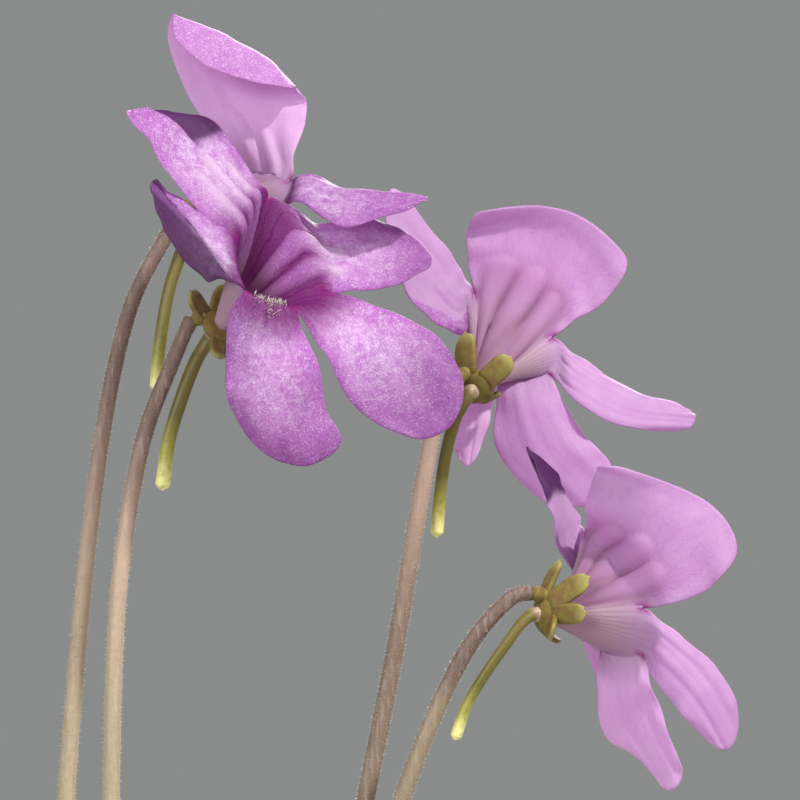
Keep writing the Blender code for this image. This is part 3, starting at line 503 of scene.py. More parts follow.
def lobe_sheet(flower, number, tube, steps=LOBE_ROWS, columns=COLUMNS):
    """Rows of points from the mouth to the lobe's tip; the first row is the mouth itself."""
    around = np.arange(number * columns, (number + 1) * columns + 1) % (5 * columns)
    mouth, inner = tube[-1, around], tube[len(tube) // 2, around]
    rows = np.asarray(list(flower["lobes"].values())[number], float)
    v = np.linspace(0.0, 1.0, columns + 1)[:, None]
    side = 2 * v - 1
    line = [inner, mouth]
    for left, middle, right in rows[:-1]:
        line.append(left * (1 - v) * (1 - 2 * v) + middle * 4 * v * (1 - v) + right * v * (2 * v - 1))
    line.append(spline([rows[-2, 0], *rows[-1], rows[-2, 2]], 1 + 2 * v[:, 0]))
    turn_in = side**6
    line.append((2 * line[-1] - line[-2]) * (1 - turn_in) + rows[-1, 1] * turn_in)
    line = np.array(line)
    s = np.linspace(0.0, 1.0, steps + 1)
    return np.stack([spline(line[:, j], 1 + len(rows) * s) for j in range(columns + 1)], axis=1)

# %% [markdown]
# ## Waves, folds and marks
# No petal is quite flat. Its edge waves, the blade is gently crumpled, and from the tube two or
# three rounded folds run out into the upper lobes. They are moved into the sheet itself, because at
# this size a shape shows at the outline, where a painted bump would not. The same numbers are kept
# as marks for the material, which paints light on the crests of the folds on the back, and shade round
# them.

# %% Folds, painted light and shade, and the parts that are turned over
FOLD_HEIGHT = 0.42
FOLD_WAY = {"b": 1.0}
# By flower and lobe number: each fold's place across the lobe, its reach, and half its width.
FOLDS = {
    ("a", 0): [(0.36, 0.34, 0.10), (0.64, 0.28, 0.09)],
    ("b", 0): [(0.30, 0.42, 0.08), (0.52, 0.50, 0.08), (0.74, 0.44, 0.08)],
    ("b", 4): [(0.26, 0.40, 0.09), (0.50, 0.46, 0.10)],
    ("c", 0): [(0.22, 0.40, 0.11), (0.49, 0.38, 0.11), (0.74, 0.30, 0.10)],
    ("d", 0): [(0.26, 0.34, 0.10), (0.50, 0.42, 0.11), (0.74, 0.36, 0.10)],
}


def fold_marks(key, number, across, along):
    """Crest of the folds, and the patch of painted shade round them; along is -1 to 0 in the tube."""
    crest = np.zeros(np.broadcast(across, along).shape)
    folds = FOLDS.get((key, number), [])
    for middle, reach, half in folds:
        ahead = np.clip((along - reach + 0.1) / 0.1, 0.0, None)
        dome = 1.0 - ((across - middle) / half) ** 2 - ahead**2
        crest = np.maximum(crest, np.sqrt(np.clip(dome, 0.0, None)) * smooth((along + 0.8) / 0.5))
    dusk = smooth((0.5 - np.abs(across - 0.5)) / 0.2) * smooth((0.5 - along) / 0.3)
    dusk = dusk * (0.0 if not folds else 0.3 if key == "a" else 1.0)
    return crest, dusk * np.ones_like(crest)


# How much paler some whole lobes are painted, as painted light where they should look lit through; below
# zero they are painted darker, as painted shade.
PAINTED_LIGHT_LEVELS = {("a", 1): -0.15, ("c", 3): 0.8, ("d", 2): 0.35}


def painted_shade_and_light(key, number, across, along):
    """Painted shade on the parts of a blade that lie in shadow, and below zero painted light on the parts
    that should look lit.
    """
    side = 2 * across - 1
    level = np.zeros(np.broadcast(across, along).shape)
    if (key, number) in PAINTED_LIGHT_LEVELS:
        return level - PAINTED_LIGHT_LEVELS[key, number]
    # Painted light on the top lobe of a, below its fold.
    if (key, number) == ("a", 0):
        return level - 0.15 - 0.4 * smooth((0.75 - along) / 0.2)
    # Painted shade along the upper margin of b's upper left lobe.
    if (key, number) == ("b", 0):
        return smooth((along - 0.5) / 0.1) * smooth((0.02 - side) / 0.1)
    # Painted shade on the shaded side of b's left lobe.
    if (key, number) == ("b", 1):
        return 0.72 * smooth((across - 1.02 + 1.15 * along) / 0.05)
    # Darker towards the tips of b's other lobes: partly their own deeper violet, partly painted shade where
    # they curve away from the light.
    if key == "b":
        return level + 0.34 * smooth((along - 0.3) / 0.7)
    # Painted shade on the tip of d's left lobe, where another lobe shades it.
    if (key, number) == ("d", 4):
        return level + smooth((along - 0.68) / 0.06)
    return level


def turned_over(key, number, across, along):
    """A margin that is folded over, so that its glittering face shows on the back."""
    side = 2 * across - 1
    level = np.zeros(np.broadcast(across, along).shape)
    if (key, number) == ("a", 1):
        return level + smooth((along - 0.03) / 0.06)
    if (key, number) == ("c", 4):
        return smooth((-0.1 - 0.9 * along - side) / 0.08) * smooth((along - 0.02) / 0.03)
    return level

# %% Move a lobe along its own normals
def wavy_lobe(key, number, grid):
    """The lobe with its waves, folds and an edge that is a little uneven."""
    rng = np.random.default_rng([number, ord(key)])
    phase = rng.uniform(0.0, 2 * math.pi, 8)
    s = np.linspace(0.0, 1.0, grid.shape[0])[:, None]
    across = np.linspace(0.0, 1.0, grid.shape[1])[None, :]
    side = 2 * across - 1
    edge = 0.22 * np.sin(4 * math.pi * s + number + side) * side**2 * smooth(s * 3)
    edge = edge + 0.12 * np.sin(23 * s + 2.1 * side + phase[0]) * side**4 * smooth(s * 3)
    crumple = 0.14 * np.sin(7.5 * s + 3.2 * side + phase[1]) * np.cos(5.1 * side - 3.0 * s + phase[2])
    crumple = crumple + 0.05 * np.sin(16 * side + 4 * s + phase[3]) * (1 - 0.5 * s)
    crest = fold_marks(key, number, across, s)[0]
    toward = FOLD_WAY.get(key, -1.0)
    lift = edge + crumple * smooth(s * 5) + toward * FOLD_HEIGHT * crest
    lift = lift - 0.35 * np.maximum(painted_shade_and_light(key, number, across, s), 0.0)
    if key == "c":
        lift = lift - 0.3 * turned_over(key, number, across, s)
    return grid + sheet_normals(grid) * lift[..., None]

# %% [markdown]
# ## One closed skin for each flower
# The sheet has no thickness yet. Every point is moved half a petal's thickness to either side, and
# a rounded rim joins the two faces round the edge. A petal thins out towards its edge, so the
# thickness does too. The foot of the tube closes in one point.

# %% Join the tube and the lobes of one flower
PETAL_THICK = 0.34
EDGE_SHARE = 0.55
TUBE_SHARE = 1.15
RIM_ROUND = 0.9


def corolla_mesh(key, flower):
    columns, ring = COLUMNS, 5 * COLUMNS
    tube = tube_sheet(flower)
    t = np.linspace(-1.0, 0.0, TUBE_ROWS + 1)[:, None]
    around = (np.arange(ring) % columns / columns)[None, :]
    lobe_of = np.arange(ring) // columns
    folded = [fold_marks(key, lobe_of[j], around[0, j], t[:, 0]) for j in range(ring)]
    crest, dusk = np.array(folded).transpose(1, 2, 0)
    inward = -sheet_normals(tube, ring=True)
    if np.sum(inward[4] * (tube[4] - tube[4].mean(axis=0))) > 0:
        inward = -inward
    toward = FOLD_WAY.get(key, -1.0)
    tube = tube + inward * (toward * FOLD_HEIGHT * crest)[..., None]
    points = [tube.reshape(-1, 3)]
    none = np.zeros(crest.size)
    marks = {"along": [np.repeat(t[:, 0], ring)], "side": [np.tile(2 * around[0] - 1, TUBE_ROWS + 1)],
             "crest": [crest.ravel()], "dusk": [dusk.ravel()], "dark": [none], "over": [none]}
    quads, corners = [], []

    def cells(index, u, v):
        quads.append(grid_cells(index).reshape(-1, 4))
        uv = np.stack(np.broadcast_arrays(u[None, :], v[:, None]), axis=-1)
        corners.append(grid_cells(uv).reshape(-1, 4, 2))

    index = np.arange((TUBE_ROWS + 1) * ring).reshape(TUBE_ROWS + 1, ring)
    wrapped = np.concatenate([index, index[:, :1]], axis=1)
    cells(wrapped, np.arange(ring + 1) / columns, t[:, 0])
    count = len(points[0])
    across = np.linspace(0.0, 1.0, columns + 1)
    s = np.linspace(0.0, 1.0, LOBE_ROWS + 1)
    for number in range(5):
        grid = wavy_lobe(key, number, lobe_sheet(flower, number, tube_sheet(flower)))
        fresh = np.arange(LOBE_ROWS * (columns + 1)).reshape(LOBE_ROWS, columns + 1) + count
        mouth = wrapped[-1, number * columns:(number + 1) * columns + 1]
        cells(np.concatenate([mouth[None], fresh]), number + across, s)
        points.append(grid[1:].reshape(-1, 3))
        here = across[None, :], s[1:, None]
        side, along = np.broadcast_arrays(2 * here[0] - 1, here[1])
        crest, dusk = fold_marks(key, number, *here)
        fresh_marks = {"along": along, "side": side, "crest": crest, "dusk": dusk,
                       "dark": painted_shade_and_light(key, number, *here), "over": turned_over(key, number, *here)}
        for name, values in fresh_marks.items():
            marks[name].append(values.ravel())
        count += LOBE_ROWS * (columns + 1)
    marks = {name: np.concatenate(values) for name, values in marks.items()}
    quads, corners = np.concatenate(quads), np.concatenate(corners)
    return thick_sheet(f"petals_{key}", np.concatenate(points), quads, corners, marks, index[0])

# %% Give the sheet its thickness
def thick_sheet(name, points, quads, corners, marks, foot_ring):
    """Two faces and a rounded rim round every free edge; marks go on both faces."""
    cross = np.cross(points[quads[:, 2]] - points[quads[:, 0]], points[quads[:, 3]] - points[quads[:, 1]])
    normals = np.zeros_like(points)
    for corner in range(4):
        np.add.at(normals, quads[:, corner], cross)
    normals = unit(normals)
    along, side = marks["along"], marks["side"]
    taper = EDGE_SHARE + (1 - EDGE_SHARE) * smooth((1 - np.abs(side)) / 0.25) * smooth((1 - along) / 0.15)
    half = PETAL_THICK / 2 * np.where(along < 0, TUBE_SHARE, taper)
    upper, lower = points + normals * half[:, None], points - normals * half[:, None]
    n = len(points)
    pairs = {(a, b): True for quad in quads.tolist() for a, b in zip(quad, quad[1:] + quad[:1])}
    foot = set(foot_ring.tolist())
    rim = [(a, b) for a, b in pairs if (b, a) not in pairs and a not in foot]
    middle, rim_faces, rim_uv, extra = {}, [], [], []
    flat = {a: spot for face, uv in zip(quads.tolist(), corners.tolist()) for a, spot in zip(face, uv)}
    for a, b in rim:
        away = unit(np.cross(points[b] - points[a], normals[a] + normals[b]))
        for end in (a, b):
            middle.setdefault(end, []).append(away)
    for end, ways in middle.items():
        place_at = points[end] + unit(np.sum(ways, axis=0)) * half[end] * RIM_ROUND
        middle[end] = 2 * n + len(extra)
        extra.append((place_at, end))
    for a, b in rim:
        rim_faces.append((b, a, middle[a], middle[b]))
        rim_faces.append((middle[b], middle[a], a + n, b + n))
        rim_uv += [flat[b], flat[a], flat[a], flat[b]] * 2
    pole = 2 * n + len(extra)
    axis = unit(points[foot_ring].mean(axis=0) - points[foot_ring + len(foot_ring) * 4].mean(axis=0))
    centre = points[foot_ring].mean(axis=0)
    poles = [centre + axis * 0.1, centre + axis * 0.6]
    faces = [tuple(q) for q in quads.tolist()] + [tuple(q + n for q in reversed(f)) for f in quads.tolist()]
    uv = [c for f in corners.tolist() for c in f] + [c for f in corners.tolist() for c in reversed(f)]
    faces += rim_faces
    uv += rim_uv
    for a, b in zip(foot_ring.tolist(), np.roll(foot_ring, -1).tolist()):
        faces.append((a, b, pole))
        faces.append((b + n, a + n, pole + 1))
        uv += [(0.0, -1.0)] * 6
    ends = np.array([end for _, end in extra])
    everything = np.concatenate([upper, lower, np.array([p for p, _ in extra]), np.array(poles)])
    poles_at = {"along": -1.0}
    full = {mark: np.concatenate([values, values, values[ends], [poles_at.get(mark, 0.0)] * 2])
            for mark, values in marks.items()}
    over = np.concatenate([np.zeros(n), marks["over"], marks["over"][ends] * 0.5, [0.0, 0.0]])
    inner = np.concatenate([np.ones(n), np.zeros(n), np.full(len(ends), 0.5), [1.0, 0.0]])
    full["inner"] = np.maximum(inner, over)
    del full["over"]
    return new_mesh(name, everything, faces, full, uv)

# %% [markdown]
# ## The petals' finish
# The face that looks out of the flower is made of tiny domed cells; their sparkle is painted into
# its colour as pale grains, with a painted highlight down the middle of each lobe. The back is matt
# and shows veins that run out from the tube and fork. Deep magenta fills the throat, and pale ridges
# lead into it. A petal is thin enough for light to pass through, so a translucent shader is mixed
# in: a pale one for the blade and a rich one where the petal holds more dye or carries painted shade.

# %% Petal material
LIGHT_THROUGH = 0.44


def petal_finish():
    look, wire, where = new_look("petal")
    along, side, inner = wire.mark("along"), wire.mark("side"), wire.mark("inner")
    crest, dusk, dark = wire.mark("crest"), wire.mark("dusk"), wire.mark("dark")
    across = wire.add("SeparateXYZ", None, {0: wire.add("UVMap", {"uv_map": "petal"})})
    cloud = wire.noise(where, 2.6, 3.0)
    mottle = wire.noise(where, 0.8, 3.0, 0.6)
    wobble = (wire.noise(where, 1.6, 2.0) - 0.5) * 0.16
    few = ((across + wobble) * 6.0).lines(16.0) * (1 - along.step(0.3, 0.6))
    more = ((across + wobble) * 12.0).lines(12.0) * along.step(-0.1, 0.2) * (1 - along.step(0.6, 0.95))
    most = ((across + wobble * 1.4) * 24.0).lines(8.0) * along.step(0.3, 0.55)
    veins = (few * 0.8 + more * 0.6 + most * 0.4).clamp()

    # Cells for the painted glints on the face.
    grain = wire.add("TexVoronoi", None, {"Vector": where, "Scale": 1 / (0.10 * MM)}, 1)
    grain = wire.add("SeparateColor", None, {0: grain})
    domes = wire.add("TexVoronoi", None, {"Vector": where, "Scale": 1 / (0.115 * MM)})

    back = cloud.step(0.3, 0.7).tinted(srgb(202, 166, 201), srgb(195, 154, 196))
    back = ((mottle - 0.35) * 0.5).clamp().tinted(back, srgb(222, 190, 222))
    back = (veins * (0.62 - along * 0.15)).clamp().tinted(back, srgb(158, 92, 164))
    # Painted shade round the folds on the back, and painted light on their crests.
    back = (dusk * 0.9).tinted(back, srgb(134, 90, 116))
    back = (crest ** 0.7 * 0.66).tinted(back, srgb(196, 156, 192))

    front = cloud.step(0.3, 0.7).tinted(srgb(180, 108, 188), srgb(160, 84, 170))
    front = (veins * 0.3 * (1.1 - along)).clamp().tinted(front, srgb(112, 50, 130))
    front = (veins * (1 - along.step(0.12, 0.45)) * 0.75).tinted(front, srgb(146, 34, 138))
    # Painted glints: pale grains on the face, where the light would sparkle on its cells.
    painted_glint = srgb(248, 226, 250)
    front = (grain ** 4 * (mottle * 2.2 - 0.45).clamp() * 0.8).tinted(front, painted_glint)
    # Painted highlight: a pale sheen down the middle of each lobe's face, flecked with the same grains.
    light = (1 - side ** 2) * along.step(0.02, 0.3) * (1 - along.step(0.5, 0.95))
    light = light * (grain * 0.8 + 0.35) * (mottle * 1.8 - 0.4).clamp()
    front = light.clamp().tinted(front, painted_glint)
    front = (crest * along.step(-0.2, 0.5) * 0.7).tinted(front, srgb(224, 196, 220))
    colour = inner.tinted(back, front)
    # Painted shade where the dark mark is above zero, and painted light where it is below zero.
    colour = dark.tinted(colour, srgb(88, 36, 96))
    colour = (dark * -1.0).tinted(colour, srgb(240, 206, 238))

    mouth = (1 - along.step(0.02, 0.26 + mottle * 0.12)) * along.step(-0.8, -0.5)
    stain = (mouth * inner * (1 - crest * 0.78) * (0.85 + veins * 0.4)).clamp()
    colour = stain.tinted(colour, srgb(112, 8, 98))
    notch = side.maths("ABSOLUTE").step(0.72, 1.0) * (1 - along.step(0.03, 0.14))
    notch = notch * along.step(-0.1, 0.0)
    colour = (notch * 0.9).tinted(colour, srgb(140, 14, 120))
    deep = (1 - along.step(-0.75, -0.1)) * inner
    throat = (crest ** 0.7 * 0.85).tinted(srgb(98, 22, 66), srgb(206, 166, 176))
    colour = (deep * 0.85).tinted(colour, throat)
    tube = (1 - along.step(-0.35, 0.04)) * (1 - inner)
    lines = (across * 8.0 + wobble).lines(2.0) * (along + 1).step(0.02, 0.4)
    # The tube's outside is darker under the folds, as painted shade.
    outside = dusk.tinted(srgb(204, 176, 178), srgb(170, 130, 152))
    outside = (lines * 0.6).tinted(outside, srgb(142, 98, 128))
    colour = (tube * 0.85).tinted(colour, outside)

    bump = bumpy(1 - veins, 0.2, 0.10, bumpy(1 - domes, 0.5, 0.05))
    gloss = surface(colour, 0.6 - inner * 0.1, bump, {"Specular IOR Level": 0.3})
    pale = wire.add("BsdfTranslucent", None, {"Color": srgb(206, 146, 208), "Normal": bump})
    rich = wire.add("BsdfTranslucent", None, {"Color": srgb(104, 24, 96), "Normal": bump})
    # The rich translucent part follows the magenta stain, the throat and the painted shade.
    rich_part = stain.maths("MAXIMUM", dark).maths("MAXIMUM", deep * 0.85)
    through = wire.add("MixShader", None, {0: rich_part, 1: pale, 2: rich})
    return close_look(look, wire.add("MixShader", None, {0: LIGHT_THROUGH, 1: gloss, 2: through}))


petal_look = petal_finish()
for key, flower in FLOWERS.items():
    mesh = corolla_mesh(key, flower)
    mesh.transform(moved(flower["seat"]))
    place(new_piece(f"petals_{key}", mesh, petal_look), "petal", f"corolla_{key}")

# %% [markdown]
# ## Blades with two faces
# Sepals and leaves are thick, soft blades. Each starts as one middle sheet of points. A closed
# blade is made round it: an upper face, a lower face, and a rounded edge that joins them.

# %% A closed blade round a grid of points
def blade(name, grid, thick, marks=None):
    """thick may vary from point to point; marks hold one value for each point of the grid."""
    rows, columns = grid.shape[:2]
    half = np.broadcast_to(np.asarray(thick, float) / 2, (rows, columns))
    normals = sheet_normals(grid)
    upper, lower = grid + normals * half[..., None], grid - normals * half[..., None]
    index = np.arange(rows * columns).reshape(rows, columns)
    ring = np.concatenate([index[0, :-1], index[:-1, -1], index[-1, :0:-1], index[:0:-1, 0]])
    flat, up = grid.reshape(-1, 3), normals.reshape(-1, 3)
    ahead = np.roll(flat[ring], -1, axis=0) - np.roll(flat[ring], 1, axis=0)
    away = unit(np.cross(up[ring], ahead))
    outside = np.sum(away * (flat[ring] - flat.mean(axis=0)))
    away = away if outside > 0 else -away
    middle = flat[ring] + away * half.reshape(-1)[ring][:, None] * 0.8
    n = rows * columns
    quads = grid_cells(index).reshape(-1, 4)
    faces = quads.tolist() + (quads[:, ::-1] + n).tolist()
    for k in range(len(ring)):
        m = (k + 1) % len(ring)
        faces.append((ring[k], ring[m], 2 * n + m, 2 * n + k))
        faces.append((2 * n + k, 2 * n + m, ring[m] + n, ring[k] + n))
    points = np.concatenate([upper.reshape(-1, 3), lower.reshape(-1, 3), middle])
    full = {}
    for key, values in (marks or {}).items():
        values = np.broadcast_to(values, (rows, columns)).reshape(-1)
        full[key] = np.concatenate([values, values, values[ring]])
    full["inner"] = np.concatenate([np.ones(n), np.zeros(n), np.full(len(ring), 0.5)])
    return new_mesh(name, points, faces, full, turn_out=True)

# %% Turned shapes, and several meshes as one
def turned(profile, sides, lift=None):
    """Points and faces of a turned shape about +Z, from pole to pole."""
    points, rings, faces = [], [], []
    angle = 2 * math.pi * np.arange(sides) / sides
    for radius, height in profile:
        if radius < 1e-6:
            rings.append([len(points)])
            points.append((0.0, 0.0, height))
            continue
        rings.append(list(range(len(points), len(points) + sides)))
        for one in angle:
            x, y = radius * math.cos(one), radius * math.sin(one)
            points.append((x, y, height + (lift(x, y, radius, height) if lift else 0.0)))
    for low, high in zip(rings[:-1], rings[1:]):
        for k in range(sides):
            m = (k + 1) % sides
            if len(low) == 1:
                faces.append((low[0], high[m], high[k]))
            elif len(high) == 1:
                faces.append((low[k], low[m], high[0]))
            else:
                faces.append((low[k], low[m], high[m], high[k]))
    return np.array(points), faces


def turned_piece(name, profile, sides, look=None, lift=None, marks=None, shift=(0.0, 0.0, 0.0)):
    """A turned shape as a piece; each mark has one value all over it."""
    points, faces = turned(profile, sides, lift)
    full = {key: np.full(len(points), value) for key, value in (marks or {}).items()}
    return new_piece(name, new_mesh(name, points + shift, faces, full, turn_out=True), look)


def join(name, meshes):
    """Several meshes as one, with their marks kept."""
    made = bmesh.new()
    for mesh in meshes:
        made.from_mesh(mesh)
    joined = bpy.data.meshes.new(name)
    made.to_mesh(joined)
    made.free()
    joined.shade_smooth()
    return joined

# %% [markdown]
# ## Calyx: the green collar behind the flower
# Five blunt, fleshy sepals stand round a short collar that holds the tube. The stalk meets the
# collar at a small knob on its side, and the spur carries on behind it. The sepals are olive
# green with a brown flush. Each one is lifted off the tube, so that the two never touch.

# %% Sepals that keep clear of the tube
COLLAR_RADIUS = 2.05
COLLAR_LENGTH = 1.1
SEPAL_CLEAR = 1.05
SEPAL_THICK = 0.55


def around(axis):
    """Two directions square to an axis: the one that points most nearly down, and the other."""
    down = unit(np.array([0.0, 0.0, -1.0]) + axis[2] * axis)
    return down, np.cross(axis, down)


def tube_reach(flower, axis, radial, ahead):
    """How far out the tube's wall stands on one side, at each distance along its axis."""
    wall = tube_sheet(flower, 12, 6).reshape(-1, 3)
    forward = wall @ axis
    out = wall - forward[:, None] * axis
    beside = (unit(out) @ radial) > math.cos(math.radians(32))
    distance = np.linalg.norm(out, axis=1)
    reach = np.zeros(ahead.shape)
    for place_at, value in np.ndenumerate(ahead):
        near = beside & (np.abs(forward - value) < 0.6)
        reach[place_at] = distance[near].max() if near.any() else 0.0
    return reach


def sepal_sheet(flower, tip, width, rows=16, columns=10):
    axis = flower_axis(flower)
    tip = np.asarray(tip, float)
    radial = unit(tip - (tip @ axis) * axis)
    foot = radial * (COLLAR_RADIUS - 0.35) - axis * COLLAR_LENGTH * 0.5
    t = 1.0 - (1.0 - np.linspace(0.0, 1.0, rows + 1)[:, None]) ** 1.6
    v = np.linspace(-1.0, 1.0, columns + 1)[None, :]
    reach = t * (1.0 - 0.05 * v**2 * t**2)
    half = width / 2 * (0.86 + 0.34 * t - 0.2 * t**2) * np.sqrt(1.0 - 0.985 * t**5)
    grid = foot + (tip - foot) * reach[..., None] + np.cross(axis, radial) * (v * half)[..., None]
    ahead = grid @ axis
    clear = tube_reach(flower, axis, radial, ahead) + SEPAL_CLEAR
    bow = 0.3 * np.sin(math.pi * reach) - 0.16 * (v * half) ** 2
    lift = np.maximum(bow, np.where(ahead > -0.3, clear - grid @ radial, bow))
    return grid + radial * lift[..., None], t

# %% A round rod along a curve
DOME_BENDS = (0.25, 0.6, 0.88)


def rod(name, points, radii, sides, swell=0.0, dome=0.55):
    """A round rod with domed ends; radii holds one radius for each point."""
    points = np.asarray(points, float)
    way = unit(np.gradient(points, axis=0))
    side = unit(np.cross(way[0], (0.0, 1.0, 0.2)))
    last = len(points) - 1

    def cap(i, sign):
        tip = sign * way[i] * radii[i] * dome
        return [(points[i] + tip * (1 - bend), radii[i] * math.sin(bend * 1.5), i) for bend in DOME_BENDS]

    body = [(points[i], radii[i], i) for i in range(len(points))]
    stops = cap(0, -1) + body + cap(last, 1)[::-1]
    verts, along = [points[0] - way[0] * radii[0] * dome], [0.0]
    turn = 2 * math.pi * np.arange(sides) / sides
    for spot, radius, i in stops:
        side = unit(side - (side @ way[i]) * way[i])
        other = np.cross(way[i], side)
        uneven = 1.0 + swell * np.sin(3 * turn + i * 0.13) + swell * 0.5 * np.sin(5 * turn - i * 0.21)
        ring = np.cos(turn)[:, None] * side + np.sin(turn)[:, None] * other
        verts += list(spot + radius * uneven[:, None] * ring)
        along += [i / last] * sides
    verts.append(points[-1] + way[-1] * radii[-1] * dome)
    along.append(1.0)
    faces = []
    for k in range(sides):
        m = (k + 1) % sides
        faces.append((0, 1 + m, 1 + k))
        for r in range(len(stops) - 1):
            a = 1 + r * sides
            faces.append((a + k, a + m, a + sides + m, a + sides + k))
        a = 1 + (len(stops) - 1) * sides
        faces.append((a + k, a + m, len(verts) - 1))
    return new_mesh(name, verts, faces, {"along": along}, turn_out=True)

# %% Calyx pieces
def green_finish(name, low, high, tip, gloss, size=0.8):
    look, wire, where = new_look(name)
    cloud = wire.noise(where, size, 4.0, 0.6)
    grain = wire.noise(where, size * 0.14, 3.0, 0.6)
    colour = cloud.step(0.3, 0.7).tinted(low, high)
    colour = wire.mark("along").step(0.55, 1.0).tinted(colour, tip)
    colour = (grain.step(0.5, 0.75) * 0.3).tinted(colour, tip)
    flesh = {"Specular IOR Level": 0.2, **soft_flesh(0.25, (1.2, 1.0, 0.4))}
    return close_look(look, surface(colour, gloss + cloud * 0.15, bumpy(grain, 0.4, 0.06), flesh))


sepal_look = green_finish("sepal", srgb(108, 80, 48), srgb(116, 108, 50), srgb(150, 142, 84), 0.62)
knobs = {}
for key, flower in FLOWERS.items():
    axis = flower_axis(flower)
    down, beside = around(axis)
    profile = [(0.0, -1.55), (0.6, -1.5), (1.1, -1.3), (1.6, -1.0), (1.92, -0.62),
               (COLLAR_RADIUS - 0.05, -0.3), (1.8, 0.0), (1.3, 0.2), (0.0, 0.3)]
    collar, faces = turned(profile, 36)
    collar = collar[:, 2:] * axis + collar[:, :1] * down + collar[:, 1:2] * beside
    start = {"along": np.zeros(len(collar)), "inner": np.zeros(len(collar))}
    parts = [new_mesh("collar", collar, faces, start, turn_out=True)]
    knob = np.asarray(flower["knob"], float)
    radial = unit(knob - (knob @ axis) * axis)
    hold = radial * (COLLAR_RADIUS - 0.3) - axis * COLLAR_LENGTH * 0.5
    knobs[key] = np.asarray(flower["seat"]) + knob, unit(knob - hold)
    neck = spline([knob, (knob + hold) / 2, hold], np.linspace(0.0, 2.0, 9))
    radii = np.linspace(0.72, 0.62, 9) + 0.12 * np.sin(np.linspace(0.0, 3.1, 9))
    parts.append(rod("knob", neck, radii, 18))
    for tip, width in flower["sepals"]:
        sheet, t = sepal_sheet(flower, tip, width)
        parts.append(blade("sepal", sheet, SEPAL_THICK * (1 - 0.5 * t**3), {"along": t}))
    calyx = join(f"sepals_{key}", parts)
    calyx.transform(moved(flower["seat"]))
    place(new_piece(f"sepals_{key}", calyx, sepal_look), "sepal", f"calyx_{key}")

# %% [markdown]
# ## Stalks and spurs
# Both are round rods that follow a smooth curve: the stalk climbs from the crown to the flower and
# nods at the top, and the spur hangs from the tube's foot and ends in a blunt, yellowish tip that is
# painted brighter where the light catches it. A ring of points is carried along the curve without twisting.

# %% Where the stalks and spurs run
STALKS = {
    "a": {
        "way": [(-5.6, 2.6, 80.0), (-10.8, 3.0, 95.0), (-14.6, 3.0, 115.0), (-14.8, 3.0, 132.0),
                (-13.5, 3.0, 151.1), (-11.2, 3.0, 172.0), (-8.4, 3.2, 185.5), (-4.6, 3.6, 193.4)],
        "hole": 140.0,
        "radius": (1.1, 0.68),
    },
    "b": {
        "way": [(-3.6, -3.0, 80.0), (-7.0, -3.8, 95.0), (-9.7, -4.0, 115.0), (-9.9, -4.0, 135.0),
                (-9.2, -4.0, 157.0), (-6.9, -4.0, 172.0), (-3.6, -4.0, 181.0)],
        "hole": 229.0,
        "radius": (1.1, 0.72),
    },
    "c": {
        "way": [(4.6, 2.6, 80.0), (8.2, 2.9, 100.0), (12.2, 3.0, 120.0), (15.6, 3.0, 137.0),
                (18.6, 3.0, 152.5), (20.7, 1.8, 165.0), (22.5, 0.7, 174.6)],
        "hole": 47.0,
        "radius": (1.05, 0.8),
    },
    "d": {
        "way": [(3.9, -3.2, 80.0), (8.0, -4.2, 98.0), (13.6, -4.9, 120.0), (19.0, -5.6, 136.6),
                (22.6, -6.0, 146.0), (26.1, -6.2, 152.8), (29.8, -6.3, 157.0)],
        "hole": 322.0,
        "radius": (1.05, 0.72),
    },
}

SPURS = {
    "a": {"way": [(-2.4, 4.9, 193.4), (-3.3, 4.4, 191.2), (-4.4, 3.6, 187.4), (-5.3, 2.9, 181.7),
                 (-5.5, 2.6, 178.4)], "radius": (0.9, 0.64)},
    "b": {"way": [(-0.7, -3.2, 182.1), (-1.5, -3.6, 180.6), (-2.8, -4.4, 177.2), (-4.1, -4.6, 173.0),
                 (-4.7, -4.5, 168.6)], "radius": (1.0, 0.7)},
    "c": {"way": [(25.3, 1.9, 176.5), (24.5, 2.7, 174.8), (23.6, 3.7, 171.4), (23.0, 4.3, 167.4),
                 (22.7, 4.6, 163.7)], "radius": (0.95, 0.62)},
    "d": {"way": [(31.0, -6.6, 154.6), (29.8, -6.9, 153.0), (27.8, -7.2, 150.2), (25.7, -7.4, 146.7),
                 (24.6, -7.4, 143.6)], "radius": (0.9, 0.54)},
}

print("stalks:", len(STALKS), "spurs:", len(SPURS))
CROWN_TOP = 70.0
STALK_HOLE_DEPTH = 4.0
STALK_RING = 2.6
GAP = 0.3

# %% Stalk and spur materials
def stalk_finish():
    look, wire, where = new_look("stalk")
    height = wire.add("SeparateXYZ", None, {0: where}, 2) * 1000.0
    colours = wire.add("ValToRGB", {"stops": [
        (0.0, srgb(146, 122, 88)), (0.25, srgb(164, 156, 106)), (0.6, srgb(160, 146, 118)),
        (0.8, srgb(180, 154, 136)), (1.0, srgb(196, 166, 148))]}, {0: (height - 65.0) * (1 / 130.0)})
    stretched = wire.add("Mapping", None, {"Vector": where, "Scale": (1.0, 1.0, 0.12)})
    streak = wire.noise(stretched, 0.35, 4.0, 0.65)
    grain = wire.noise(where, 0.12, 3.0, 0.6)
    # Painted shadow: a dark colour where the flowers above shade the stalk.
    colour = (wire.mark("brown") * 0.92).tinted(colours, srgb(92, 70, 62))
    colour = (streak.step(0.45, 0.7) * 0.22).tinted(colour, srgb(208, 188, 172))
    colour = (grain.step(0.5, 0.75) * 0.4).tinted(colour, srgb(110, 84, 70))
    bump = bumpy(streak * 0.6 + grain * 0.4, 0.6, 0.06)
    flesh = soft_flesh(0.15, (1.4, 0.8, 0.5))
    return close_look(look, surface(colour, 0.5 + streak * 0.2, bump, flesh))


